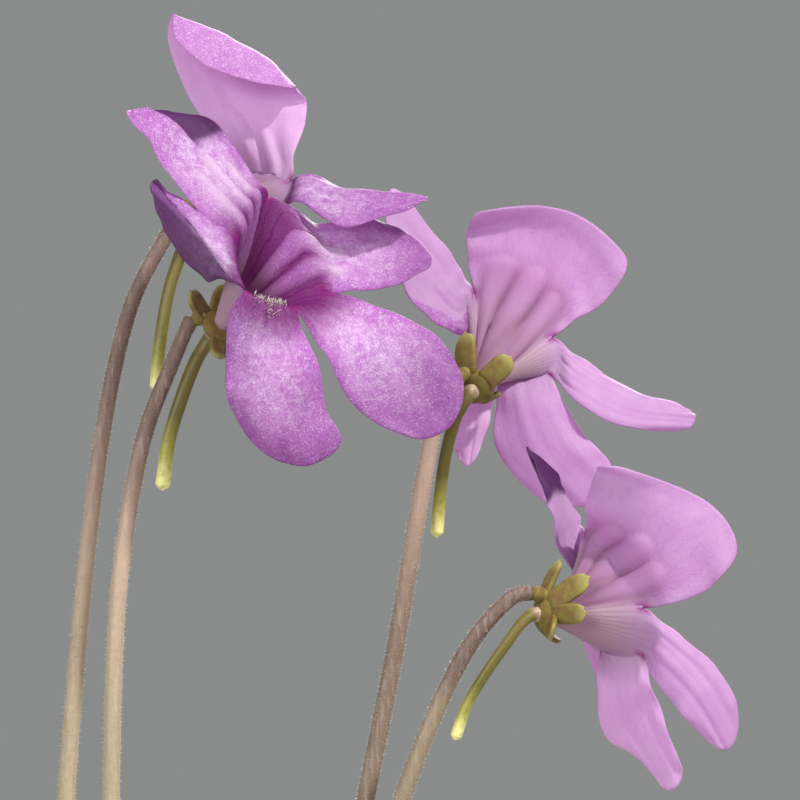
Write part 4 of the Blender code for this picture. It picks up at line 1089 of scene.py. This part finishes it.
def spur_finish():
    look, wire, where = new_look("spur")
    along = wire.mark("along")
    # The pale yellow tip is partly the spur's own colour and partly painted light, where the light catches
    # the tip.
    colours = wire.add("ValToRGB", {"stops": [
        (0.0, srgb(196, 166, 160)), (0.2, srgb(184, 156, 140)), (0.32, srgb(106, 92, 36)),
        (0.78, srgb(94, 86, 22)), (0.9, srgb(158, 154, 66)), (1.0, srgb(232, 226, 150))]}, {0: along})
    cloud = wire.noise(where, 0.6, 4.0, 0.6)
    grain = wire.noise(where, 0.10, 3.0, 0.6)
    colour = (cloud.step(0.45, 0.75) * 0.5).tinted(colours, srgb(88, 80, 30))
    colour = (grain.step(0.55, 0.8) * 0.3).tinted(colour, srgb(150, 144, 80))
    flesh = soft_flesh(0.3, (1.2, 1.2, 0.4))
    return close_look(look, surface(colour, 0.38 + cloud * 0.2, bumpy(grain, 0.4, 0.04), flesh))

# %% Stalks and spurs along their curves
stalk_look, spur_look = stalk_finish(), spur_finish()
# Painted shadow of the flowers on each stalk: the height where it starts, and how much further it reaches
# full strength; a reach below zero puts it under that height.
PAINTED_SHADOW_FROM = {"a": (157.0, 26.0), "b": (158.0, 20.0), "c": (175.0, -24.0), "d": (142.0, 9.0)}
stalk_pieces = {}
for key, flower in FLOWERS.items():
    stalk, axis = STALKS[key], flower_axis(flower)
    knob, out = knobs[key]
    back = unit(unit(np.asarray(stalk["way"][-1]) - knob) + out)
    angle = math.radians(stalk["hole"])
    foot = (STALK_RING * math.cos(angle), STALK_RING * math.sin(angle))
    way = [(*foot, CROWN_TOP - STALK_HOLE_DEPTH + GAP + 0.6), (*foot, CROWN_TOP), *stalk["way"]]
    way.append(tuple(knob + back * 0.45))
    points, share = smooth_run(way, 120)
    radii = between(stalk["radius"], share) * (1 + 0.12 * smooth((share - 0.965) / 0.035))
    mesh = rod(f"stem_{key}", points, radii, 24, 0.03)
    high_up = spots(mesh)[:, 2]
    brown = smooth((high_up - PAINTED_SHADOW_FROM[key][0]) / PAINTED_SHADOW_FROM[key][1])
    # The painted shadow on c is weaker, and on d a fainter one also lies lower down the stalk.
    if key == "c":
        brown = brown * 0.8
    if key == "d":
        brown = np.maximum(brown, 0.5 * smooth((high_up - 95.0) / 30.0))
    add_mark(mesh, "brown", brown)
    stalk_pieces[key] = new_piece(f"stem_{key}", mesh, stalk_look)
    place(stalk_pieces[key], "stalk", f"stalk_{key}")
    spur = SPURS[key]
    seat = np.asarray(flower["seat"])
    way = [tuple(seat - axis * reach) for reach in (0.35, 1.1, 2.0)] + list(spur["way"])
    points, share = smooth_run(way, 64)
    radii = between(spur["radius"], smooth(share * 2.0)) * (1 + 0.08 * smooth((share - 0.85) / 0.12))
    mesh = rod(f"nectar_spur_{key}", points, radii, 20, 0.04, 0.9)
    place(new_piece(f"nectar_spur_{key}", mesh, spur_look), "spur", f"spur_{key}")

# %% [markdown]
# ## Scattering small things over a surface
# Hairs, droplets and grains repeat hundreds of times, each a little different. One tree of
# geometry nodes does all of them: it drops random points on a surface, more of them where the
# mark "grow" is high, sets a copy of a small shape on each, upright on the surface but leaning a
# little, and at last turns the copies into one plain mesh.

# %% The scattering tree
def scatter_tree():
    tree = bpy.data.node_groups.new("scatter", "GeometryNodeTree")
    kinds = {"Ground": "Geometry", "Shape": "Object", "Density": "Float", "Seed": "Int",
             "Smallest": "Float", "Largest": "Float", "Lean": "Float", "Look": "Material"}
    for name, kind in kinds.items():
        tree.interface.new_socket(name, in_out="INPUT", socket_type="NodeSocket" + kind)
    tree.interface.new_socket("Scattered", in_out="OUTPUT", socket_type="NodeSocketGeometry")
    start = Wire(tree)
    inputs = tree.nodes.new("NodeGroupInput").outputs
    given = {name: Wire(tree, inputs[name]) for name in kinds}
    seed = given["Seed"]
    number, scale = {"data_type": "FLOAT"}, {"operation": "SCALE"}
    grow = start.add("GeometryNodeInputNamedAttribute", number, {"Name": "grow"}, "Attribute")
    ground = {"Mesh": given["Ground"], "Density": given["Density"] * grow, "Seed": seed}
    chance = {"distribute_method": "RANDOM"}
    drop = start.add("GeometryNodeDistributePointsOnFaces", chance, ground, "Points")
    upright = Wire(tree, drop.socket.node.outputs["Rotation"])
    shape = start.add("GeometryNodeObjectInfo", {"transform_space": "ORIGINAL"},
                      {"Object": given["Shape"]}, "Geometry")
    size = start.add("FunctionNodeRandomValue", number,
                     {2: given["Smallest"], 3: given["Largest"], "Seed": seed}, 1)
    least = start.add("VectorMath", scale, {0: (-1.0, -1.0, -1.0), "Scale": given["Lean"]})
    most = start.add("VectorMath", scale, {0: (1.0, 1.0, 1.0), "Scale": given["Lean"]})
    lean = start.add("FunctionNodeRandomValue", {"data_type": "FLOAT_VECTOR"},
                     {0: least, 1: most, "Seed": seed})
    turn = start.add("FunctionNodeRotateRotation", {"rotation_space": "LOCAL"}, {0: upright, 1: lean})
    copies = start.add("GeometryNodeInstanceOnPoints", None, {
        "Points": drop, "Instance": shape, "Rotation": turn, "Scale": size})
    real = start.add("GeometryNodeRealizeInstances", None, {0: copies})
    painted = start.add("GeometryNodeSetMaterial", None, {"Geometry": real, "Material": given["Look"]})
    start.add("NodeGroupOutput", None, {0: painted})
    return tree


SCATTER = scatter_tree()

# %% Use the tree on one surface
def scattered(name, mesh, grow, shape, density, sizes, lean, seed, look, slot):
    """Copies of shape over a mesh, as one piece; density is their number on a square millimetre."""
    ground = new_piece(name + "_ground", mesh.copy())
    add_mark(ground.data, "grow", grow)
    modifier = ground.modifiers.new("scatter", "NODES")
    modifier.node_group = SCATTER
    values = {"Shape": shape, "Density": density / MM**2, "Seed": seed, "Smallest": sizes[0],
              "Largest": sizes[1], "Lean": lean, "Look": look}
    for item in SCATTER.interface.items_tree:
        if item.in_out == "INPUT" and item.name in values:
            modifier[item.identifier] = values[item.name]
    graph = bpy.context.evaluated_depsgraph_get()
    made = bpy.data.meshes.new_from_object(ground.evaluated_get(graph))
    ground.modifiers.remove(modifier)
    bpy.data.objects.remove(ground)
    made.name = name
    return place(new_piece(name, made, look), slot)

# %% [markdown]
# ## Hairs
# The stalks are covered in short glassy hairs, each with a drop of slime on its head, and they
# make a pale fringe where the light comes from behind. Longer white hairs stand in the mouth of
# the flower.

# %% Hairs on the stalks and in the mouth
def hair_finish():
    look, wire, where = new_look("hair")
    tone = wire.noise(where, 3.0).tinted(srgb(214, 200, 190), srgb(234, 226, 220))
    through = wire.add("BsdfTranslucent", None, {"Color": srgb(230, 222, 216)})
    return close_look(look, wire.add("MixShader", None, {0: 0.4, 1: surface(tone, 0.25), 2: through}))


hair_look = hair_finish()
STALK_HAIRS = 6.0
MOUTH_HAIRS = 13.0
headed = [(0.0, -0.2), (0.10, -0.15), (0.06, 0.72), (0.14, 0.88), (0.0, 1.04)]
short_hair = turned_piece("short hair", headed, 3)
long_hair = turned_piece("long hair", [(0.0, -0.1), (0.055, -0.05), (0.045, 0.6), (0.0, 1.0)], 4)
for number, (key, piece) in enumerate(stalk_pieces.items()):
    high_up = spots(piece.data)[:, 2]
    grow = smooth((high_up - 72.0) / 10.0)
    scattered(f"stem_hair_{key}", piece.data, grow, short_hair, STALK_HAIRS, (0.12, 0.24), 0.5,
              40 + number, hair_look, "stalk")
for number, (key, flower) in enumerate(FLOWERS.items()):
    petals = bpy.data.objects[f"petals_{key}"].data
    notches = np.asarray(flower["mouth"], float) + np.asarray(flower["seat"])
    palate = (notches[2] + notches[3]) / 2
    away = np.linalg.norm(spots(petals) - palate, axis=1)
    grow = smooth((2.1 - away) / 0.8) * (mark_of(petals, "inner") > 0.9)
    scattered(f"palate_hair_{key}", petals, grow, long_hair, MOUTH_HAIRS, (0.45, 0.9), 0.4,
              60 + number, hair_look, "petal")
for shape in (short_hair, long_hair):
    bpy.data.objects.remove(shape)

# %% [markdown]
# ## Leaves
# The leaves are soft, fleshy and greasy to the touch. They overlap in a flat rosette, the oldest
# at the bottom, each turned by the golden angle from the one before. The edges curl up a little,
# which keeps the catch and the digestive fluid on the blade.

# %% Leaf shapes
CROWN_RADIUS = 4.6
LEAF_COUNT = 14
LEAF_TURN = 137.5
LEAF_LENGTH = (40.0, 17.0)
LEAF_WIDTH = (22.0, 9.0)
LEAF_RISE = (13.0, 54.0)
LEAF_FOOT = (63.2, 68.6)
LEAF_THICK = 0.9


def leaf_sheet(index, rows=44, columns=30):
    age = index / (LEAF_COUNT - 1)
    rng = np.random.default_rng(100 + index)
    length = between(LEAF_LENGTH, age) + rng.uniform(-1.2, 1.2)
    width = between(LEAF_WIDTH, age) + rng.uniform(-0.6, 0.6)
    rise = math.radians(between(LEAF_RISE, age))
    foot = between(LEAF_FOOT, age)
    turn = math.radians(LEAF_TURN * index + rng.uniform(-3.0, 3.0))
    droop = math.radians(16.0 - 4.0 * age)
    t = np.linspace(0.0, 1.0, rows + 1)[:, None]
    v = np.linspace(-1.0, 1.0, columns + 1)[None, :]
    s = (1.0 - (1.0 - t) ** 1.6) * (1.0 - 0.045 * v**2 * t**2)
    slope = rise + droop * (0.6 - 1.5 * s)
    step = length * s
    out = CROWN_RADIUS + GAP + LEAF_THICK / 2 + 0.15 + step * np.cos((rise + slope) / 2)
    up = foot + LEAF_THICK / 2 + step * np.sin((rise + slope) / 2)
    swell = smooth(s / 0.62)
    tip = np.clip((s - 0.56) / 0.44, 0.0, 1.0) ** 2.3
    half = width / 2 * (0.24 + 0.76 * swell) * np.sqrt(1.0 - 0.985 * tip)
    waves = rng.uniform(0.0, 2 * math.pi, 2)
    cup = width * 0.10 * v**2 * smooth(s / 0.4) + 0.35 * width * 0.1 * v**4
    cup = cup + 0.35 * v**2 * np.sin(5.2 * s + waves[0] + v) * smooth(s / 0.3)
    cup = cup - 0.35 * np.exp(-((v / 0.09) ** 2)) * smooth(s / 0.1) * (1 - s)
    cup = cup + 0.12 * np.sin(9 * s + 4 * v + waves[1]) * smooth(s / 0.3)
    clasp = CROWN_RADIUS + GAP + LEAF_THICK / 2
    bow = (clasp - np.sqrt(clasp**2 - (v * width * 0.12) ** 2)) * (1 - smooth(s / 0.25))
    x = out - bow - cup * np.sin(slope)
    z = up + cup * np.cos(slope)
    y = v * half
    across = x * math.cos(turn) - y * math.sin(turn)
    away = x * math.sin(turn) + y * math.cos(turn)
    return np.stack([across, away, z], axis=-1), s, v

# %% Leaf material
def leaf_finish():
    look, wire, where = new_look("leaf")
    along, side, inner = wire.mark("along"), wire.mark("side"), wire.mark("inner")
    cloud = wire.noise(where, 4.0, 4.0, 0.6)
    grain = wire.noise(where, 0.35, 3.0, 0.6)
    top = cloud.step(0.3, 0.7).tinted(srgb(100, 126, 46), srgb(128, 152, 62))
    top = (along.step(0.55, 1.05) * 0.4).tinted(top, srgb(168, 160, 84))
    edge = side.maths("ABSOLUTE").step(0.82, 1.0)
    top = (edge * 0.55).tinted(top, srgb(176, 110, 84))
    rib = 1 - side.maths("ABSOLUTE").step(0.0, 0.14)
    top = (rib * (1 - along) * 0.5).clamp().tinted(top, srgb(196, 204, 128))
    colour = inner.tinted(srgb(150, 162, 92), top)
    colour = (grain.step(0.55, 0.8) * 0.25).tinted(colour, srgb(206, 208, 130))
    flesh = {"Coat Weight": 0.2, "Coat Roughness": 0.3, **soft_flesh(0.3, (1.8, 2.2, 0.6), 0.6)}
    return close_look(look, surface(colour, 0.3 + cloud * 0.15, bumpy(grain, 0.35, 0.12), flesh))


leaf_look = leaf_finish()
leaf_pieces = []
for index in range(LEAF_COUNT):
    sheet, s, v = leaf_sheet(index)
    thick = LEAF_THICK * (1 - 0.45 * v**6) * (1 - 0.35 * smooth((s - 0.8) / 0.2))
    number = f"{index + 1:02d}"
    mesh = blade(f"leaf_blade_{number}", sheet, thick, {"along": s, "side": v})
    leaf_pieces.append(new_piece(f"leaf_blade_{number}", mesh, leaf_look))
    place(leaf_pieces[-1], "leaf", f"leaf_{number}")

# %% [markdown]
# ## Crown, soil and pot
# A short stem carries the leaves. It stands in a dark, open bog mix, and the pot is plain fired
# clay, turned on a wheel, with a thick band at the rim and holes in its floor.

# %% Crown
SOIL_LEVEL = 61.5
ROOT_RADIUS = 3.0
ROOT_END = 48.0

stem_look = green_finish("stem", srgb(140, 138, 74), srgb(160, 160, 90), srgb(178, 150, 110), 0.5, 1.2)
shoulder = SOIL_LEVEL + GAP
profile = [(0.0, ROOT_END), (ROOT_RADIUS * 0.7, ROOT_END), (ROOT_RADIUS, ROOT_END + 2.0),
           (ROOT_RADIUS, shoulder), (CROWN_RADIUS - 0.3, shoulder), (CROWN_RADIUS, shoulder + 0.3),
           (CROWN_RADIUS, CROWN_TOP - 1.0), (CROWN_RADIUS - 0.3, CROWN_TOP - 0.3),
           (CROWN_RADIUS - 0.9, CROWN_TOP), (0.0, CROWN_TOP + 0.2)]
crown = turned_piece("stem_base", profile, 48, stem_look, marks={"along": 0.0})
place(crown, "stem", "crown")

# %% Soil
POT_HEIGHT = 66.0
POT_RIM_RADIUS = 42.0
POT_BAND_HEIGHT = 14.0
POT_FOOT_RADIUS = 27.5
POT_WALL = 3.2
POT_FLOOR = 4.0
SOIL_LUMP = 0.9
soil_waves = np.random.default_rng(11).uniform(0.0, 2 * math.pi, 6)


def pot_inner_radius(height):
    low = POT_FOOT_RADIUS - POT_WALL
    high = POT_RIM_RADIUS - POT_WALL - 0.6
    return low + (high - low) * (height - POT_FLOOR) / (POT_HEIGHT - 1.0 - POT_FLOOR)


def soil_lift(x, y, radius, height):
    if height < SOIL_LEVEL - 0.01 or radius < ROOT_RADIUS + 1.0:
        return 0.0
    lift = math.sin(x * 0.42 + soil_waves[0]) * math.cos(y * 0.37 + soil_waves[1])
    lift += 0.6 * math.sin(x * 0.8 + y * 0.7 + soil_waves[2])
    lift += 0.5 * math.cos(y * 0.95 - x * 0.5 + soil_waves[3])
    fine = math.sin(x * 3.1 + 2 * math.sin(y * 1.7)) * math.sin(y * 2.7 + 2 * math.sin(x * 1.9))
    return SOIL_LUMP * 0.5 * lift * smooth((radius - 4.0) / 4.0) + 0.22 * fine


def soil_finish():
    look, wire, where = new_look("soil")
    coarse = wire.noise(where, 2.6, 5.0, 0.65)
    grain = wire.noise(where, 0.5, 4.0, 0.7)
    colour = grain.step(0.3, 0.7).tinted(srgb(34, 25, 18), srgb(74, 56, 40))
    colour = (coarse.step(0.5, 0.75) * 0.6).tinted(colour, srgb(52, 48, 24))
    return close_look(look, surface(colour, 0.75 + grain * 0.2, bumpy(grain + coarse, 0.9, 0.4)))


edge = pot_inner_radius(SOIL_LEVEL) - 2 * GAP
foot = POT_FLOOR + GAP
profile = [(0.0, foot), (pot_inner_radius(foot) - 2 * GAP, foot), (edge, SOIL_LEVEL)]
profile += [(radius, SOIL_LEVEL) for radius in np.linspace(edge - 0.8, ROOT_RADIUS + 1.0, 42)]
hole = ROOT_RADIUS + 2 * GAP
profile += [(hole, SOIL_LEVEL), (hole, ROOT_END - 1.0), (0.0, ROOT_END - 1.0)]
soil = turned_piece("bog_mix", profile, 160, soil_finish(), soil_lift)
place(soil, "soil", "soil")

# %% Clay
def clay_finish():
    look, wire, where = new_look("clay")
    height = wire.add("SeparateXYZ", None, {0: where}, 2) * 1000.0
    cloud = wire.noise(where, 14.0, 5.0, 0.6)
    grain = wire.noise(where, 0.7, 4.0, 0.7)
    flat = wire.add("Mapping", None, {"Vector": where, "Scale": (0.15, 0.15, 1.0)})
    rings = wire.noise(flat, 1.4, 3.0, 0.6)
    colour = cloud.step(0.3, 0.7).tinted(srgb(168, 92, 62), srgb(190, 112, 78))
    colour = (grain.step(0.5, 0.8) * 0.4).tinted(colour, srgb(206, 140, 106))
    lower = 1 - height.step(40.0, 66.0) * 0.5
    bloom = (wire.noise(where, 7.0, 6.0, 0.7).step(0.52, 0.72) * lower).clamp()
    colour = (bloom * 0.45).tinted(colour, srgb(214, 190, 168))
    damp = (1 - (height + cloud * 16.0 - 8.0).step(4.0, 22.0)) * 0.4
    colour = damp.clamp().tinted(colour, srgb(120, 66, 44))
    bump = bumpy(rings * 0.7 + grain * 0.5, 0.5, 0.25)
    return close_look(look, surface(colour, 0.78 + grain * 0.15, bump))

# %% The pot's outline, and the holes in its floor
DRAIN_COUNT = 5
DRAIN_RADIUS = 3.0
DRAIN_RING = 16.0
DRAIN_START = math.radians(6.2)

band_foot = POT_HEIGHT - POT_BAND_HEIGHT
neck = POT_RIM_RADIUS - 3.0
inner_top = POT_RIM_RADIUS - POT_WALL - 0.6
inner_foot = POT_FOOT_RADIUS - POT_WALL
profile = [(0.0, 0.0), (POT_FOOT_RADIUS - 1.4, 0.0), (POT_FOOT_RADIUS - 0.5, 0.25), (POT_FOOT_RADIUS, 1.0)]
for share in np.linspace(0.04, 1.0, 30):
    radius = POT_FOOT_RADIUS + (neck - POT_FOOT_RADIUS) * share
    profile.append((radius + 0.05 * math.sin(share * 95), 1.0 + (band_foot - 1.0) * share))
profile += [(POT_RIM_RADIUS - 0.9, band_foot + 0.15), (POT_RIM_RADIUS - 0.3, band_foot + 0.6),
            (POT_RIM_RADIUS - 0.04, band_foot + 1.5)]
for share in np.linspace(0.1, 0.9, 9):
    profile.append((POT_RIM_RADIUS - 0.04 + 0.04 * math.sin(share * 30), band_foot + 1.5 + 11.3 * share))
profile += [(POT_RIM_RADIUS - 0.1, POT_HEIGHT - 1.1), (POT_RIM_RADIUS - 0.5, POT_HEIGHT - 0.4),
            (POT_RIM_RADIUS - 1.2, POT_HEIGHT), (inner_top + 1.0, POT_HEIGHT),
            (inner_top + 0.3, POT_HEIGHT - 0.3), (inner_top, POT_HEIGHT - 1.0),
            (inner_foot, POT_FLOOR), (0.0, POT_FLOOR)]
pot = turned_piece("clay_pot", profile, 144, clay_finish())
drills = []
for k in range(DRAIN_COUNT):
    angle = 2 * math.pi * k / DRAIN_COUNT + DRAIN_START
    spot = (DRAIN_RING * math.cos(angle), DRAIN_RING * math.sin(angle), 0.0)
    profile = [(0.0, -2.0), (DRAIN_RADIUS, -2.0), (DRAIN_RADIUS, 6.0), (0.0, 6.0)]
    drills.append(turned_piece(f"drill_{k}", profile, 40, shift=spot))
    cut = pot.modifiers.new(f"drain_{k}", "BOOLEAN")
    cut.operation, cut.solver, cut.object = "DIFFERENCE", "EXACT", drills[-1]
graph = bpy.context.evaluated_depsgraph_get()
solid = bpy.data.meshes.new_from_object(pot.evaluated_get(graph), depsgraph=graph)
pot.modifiers.clear()
pot.data = solid
for drill in drills:
    bpy.data.objects.remove(drill, do_unlink=True)
pot.data.shade_smooth()
pot.data.set_sharp_from_angle(angle=math.radians(50))
place(pot, "pot", "pot")

# %% [markdown]
# ## Droplets, grit and moss
# The leaves of a butterwort are dotted with glands that each hold a tiny drop of glue. The soil is
# a gritty, peaty mix with grains of sand and perlite on it, and a little moss grows between them.

# %% Small things on the leaves and the soil
def drop_finish():
    look, wire, where = new_look("droplet")
    tone = wire.noise(where, 2.0).tinted(srgb(206, 214, 150), srgb(226, 230, 182))
    return close_look(look, surface(tone, 0.08, None, {"Coat Weight": 0.5, "Transmission Weight": 0.3}))


def grit_finish(name, low, high, rough):
    look, wire, where = new_look(name)
    spot = wire.add("TexVoronoi", None, {"Vector": where, "Scale": 1 / (1.4 * MM)}, 1)
    tone = wire.add("SeparateColor", None, {0: spot}).tinted(low, high)
    grain = wire.noise(where, 0.25, 3.0, 0.6)
    return close_look(look, surface(tone, rough, bumpy(grain, 0.5, 0.08)))


DROPLETS = 1.3
SAND = 0.42
PERLITE = 0.05
MOSS = 3.2
stalked = [(0.0, -0.1), (0.14, 0.0), (0.12, 0.35), (0.36, 0.62), (0.22, 0.92), (0.0, 1.0)]
drop_shape = turned_piece("drop", stalked, 5)
droplet_look = drop_finish()
for number, piece in enumerate(leaf_pieces):
    along = mark_of(piece.data, "along")
    grow = (mark_of(piece.data, "inner") > 0.9) * smooth((along - 0.12) / 0.15)
    scattered(f"leaf_droplets_{number + 1:02d}", piece.data, grow, drop_shape, DROPLETS, (0.2, 0.42),
              0.12, 100 + number, droplet_look, "leaf")

rng = np.random.default_rng(5)
chip, faces = turned([(0.0, -0.5), (0.42, -0.38), (0.55, 0.0), (0.4, 0.36), (0.0, 0.46)], 6)
chip = chip * (1 + rng.uniform(-0.16, 0.16, chip.shape))
grain_shape = new_piece("grain", new_mesh("grain", chip, faces, turn_out=True))
leaflet = turned_piece("leaflet", [(0.0, -0.1), (0.16, 0.0), (0.2, 0.4), (0.1, 0.8), (0.0, 1.0)], 4)
place_of = spots(soil.data)
radius = np.hypot(place_of[:, 0], place_of[:, 1])
top = (place_of[:, 2] > 58.0) * smooth((pot_inner_radius(SOIL_LEVEL) - 2.0 - radius) / 1.0)
top = top * smooth((radius - 6.5) / 2.0)
patch = np.sin(place_of[:, 0] * 0.31 + 1.0) * np.cos(place_of[:, 1] * 0.27 - 0.6)
moss = top * smooth((patch - 0.15) / 0.3)
sand_look = grit_finish("sand", srgb(120, 98, 74), srgb(196, 178, 148), 0.8)
pale_look = grit_finish("perlite", srgb(214, 212, 204), srgb(236, 234, 228), 0.9)
moss_look = grit_finish("moss", srgb(74, 104, 34), srgb(136, 156, 58), 0.7)
scattered("sand_grains", soil.data, top, grain_shape, SAND, (0.5, 1.3), 1.5, 201, sand_look, "soil")
scattered("perlite_grains", soil.data, top, grain_shape, PERLITE, (1.1, 2.1), 1.5, 202, pale_look, "soil")
scattered("moss_tufts", soil.data, moss, leaflet, MOSS, (0.9, 1.9), 0.5, 203, moss_look, "soil")
for shape in (drop_shape, grain_shape, leaflet):
    bpy.data.objects.remove(shape)

# %% [markdown]
# ## Floor, light and camera
# The plant stands on a plain pale floor against plain grey. One soft, fairly small light stands
# high up in front and to the right, so the petals cast clear shadows on each other, and the grey
# world fills them in. The camera looks level at the flower heads from far away with a long lens,
# which keeps the four flowers at one scale.

# %% Floor and light
FLOOR_RADIUS = 1200.0
look, wire, where = new_look("floor")
tone = wire.noise(where, 160.0, 3.0).tinted(srgb(150, 150, 147), srgb(160, 160, 157))
profile = [(0.0, -0.5), (FLOOR_RADIUS, -0.5), (FLOOR_RADIUS, 0.0), (0.0, 0.0)]
floor = turned_piece("floor", profile, 96, close_look(look, surface(tone, 0.8)))

world = bpy.data.worlds.new("studio")
bpy.context.scene.world = world
world.use_nodes = True
world.node_tree.nodes.clear()
sky = Wire(world.node_tree)
seen = sky.add("LightPath", None, None, 0)
plain = sky.add("Background", None, {"Color": srgb(138, 140, 139), "Strength": 1.0})
fill = sky.add("Background", None, {"Color": srgb(236, 238, 242), "Strength": 0.6})
mixed = sky.add("MixShader", None, {0: seen, 1: fill, 2: plain})
sky.add("OutputWorld", None, {"Surface": mixed})

# %% Lamps
def lamp(name, spot, aim, size, power, colour=(1.0, 1.0, 1.0)):
    data = bpy.data.lights.new(name, "AREA")
    data.shape, data.size, data.energy, data.color = "DISK", size, power, colour
    made = bpy.data.objects.new(name, data)
    bpy.context.scene.collection.objects.link(made)
    made.location = spot
    made.rotation_mode = "QUATERNION"
    ahead = mathutils.Vector(aim) - mathutils.Vector(spot)
    made.rotation_quaternion = ahead.to_track_quat("-Z", "Y")
    return made


HEADS = (0.019, -0.003, 0.177)
lamp("key", (0.639, -0.563, 1.147), HEADS, 0.08, 21.5, (1.0, 0.985, 0.96))
lamp("rear", (0.35, 0.95, 0.75), HEADS, 0.4, 19.0)
lamp("side", (-0.5, -0.85, 0.5), HEADS, 0.6, 7.0)

# %% Camera
DISTANCE = 0.9
SEEN = 0.080
camera = bpy.data.objects.new("camera", bpy.data.cameras.new("camera"))
bpy.context.scene.collection.objects.link(camera)
camera.location = (HEADS[0], HEADS[1] - DISTANCE, HEADS[2])
camera.rotation_euler = (math.radians(90), 0.0, 0.0)
camera.data.sensor_width = 36.0
camera.data.lens = 36.0 * DISTANCE / SEEN
camera.data.clip_start, camera.data.clip_end = 0.01, 20.0
bpy.context.scene.camera = camera
bpy.context.scene.view_settings.view_transform = "Standard"
print("lens", round(camera.data.lens), "mm")
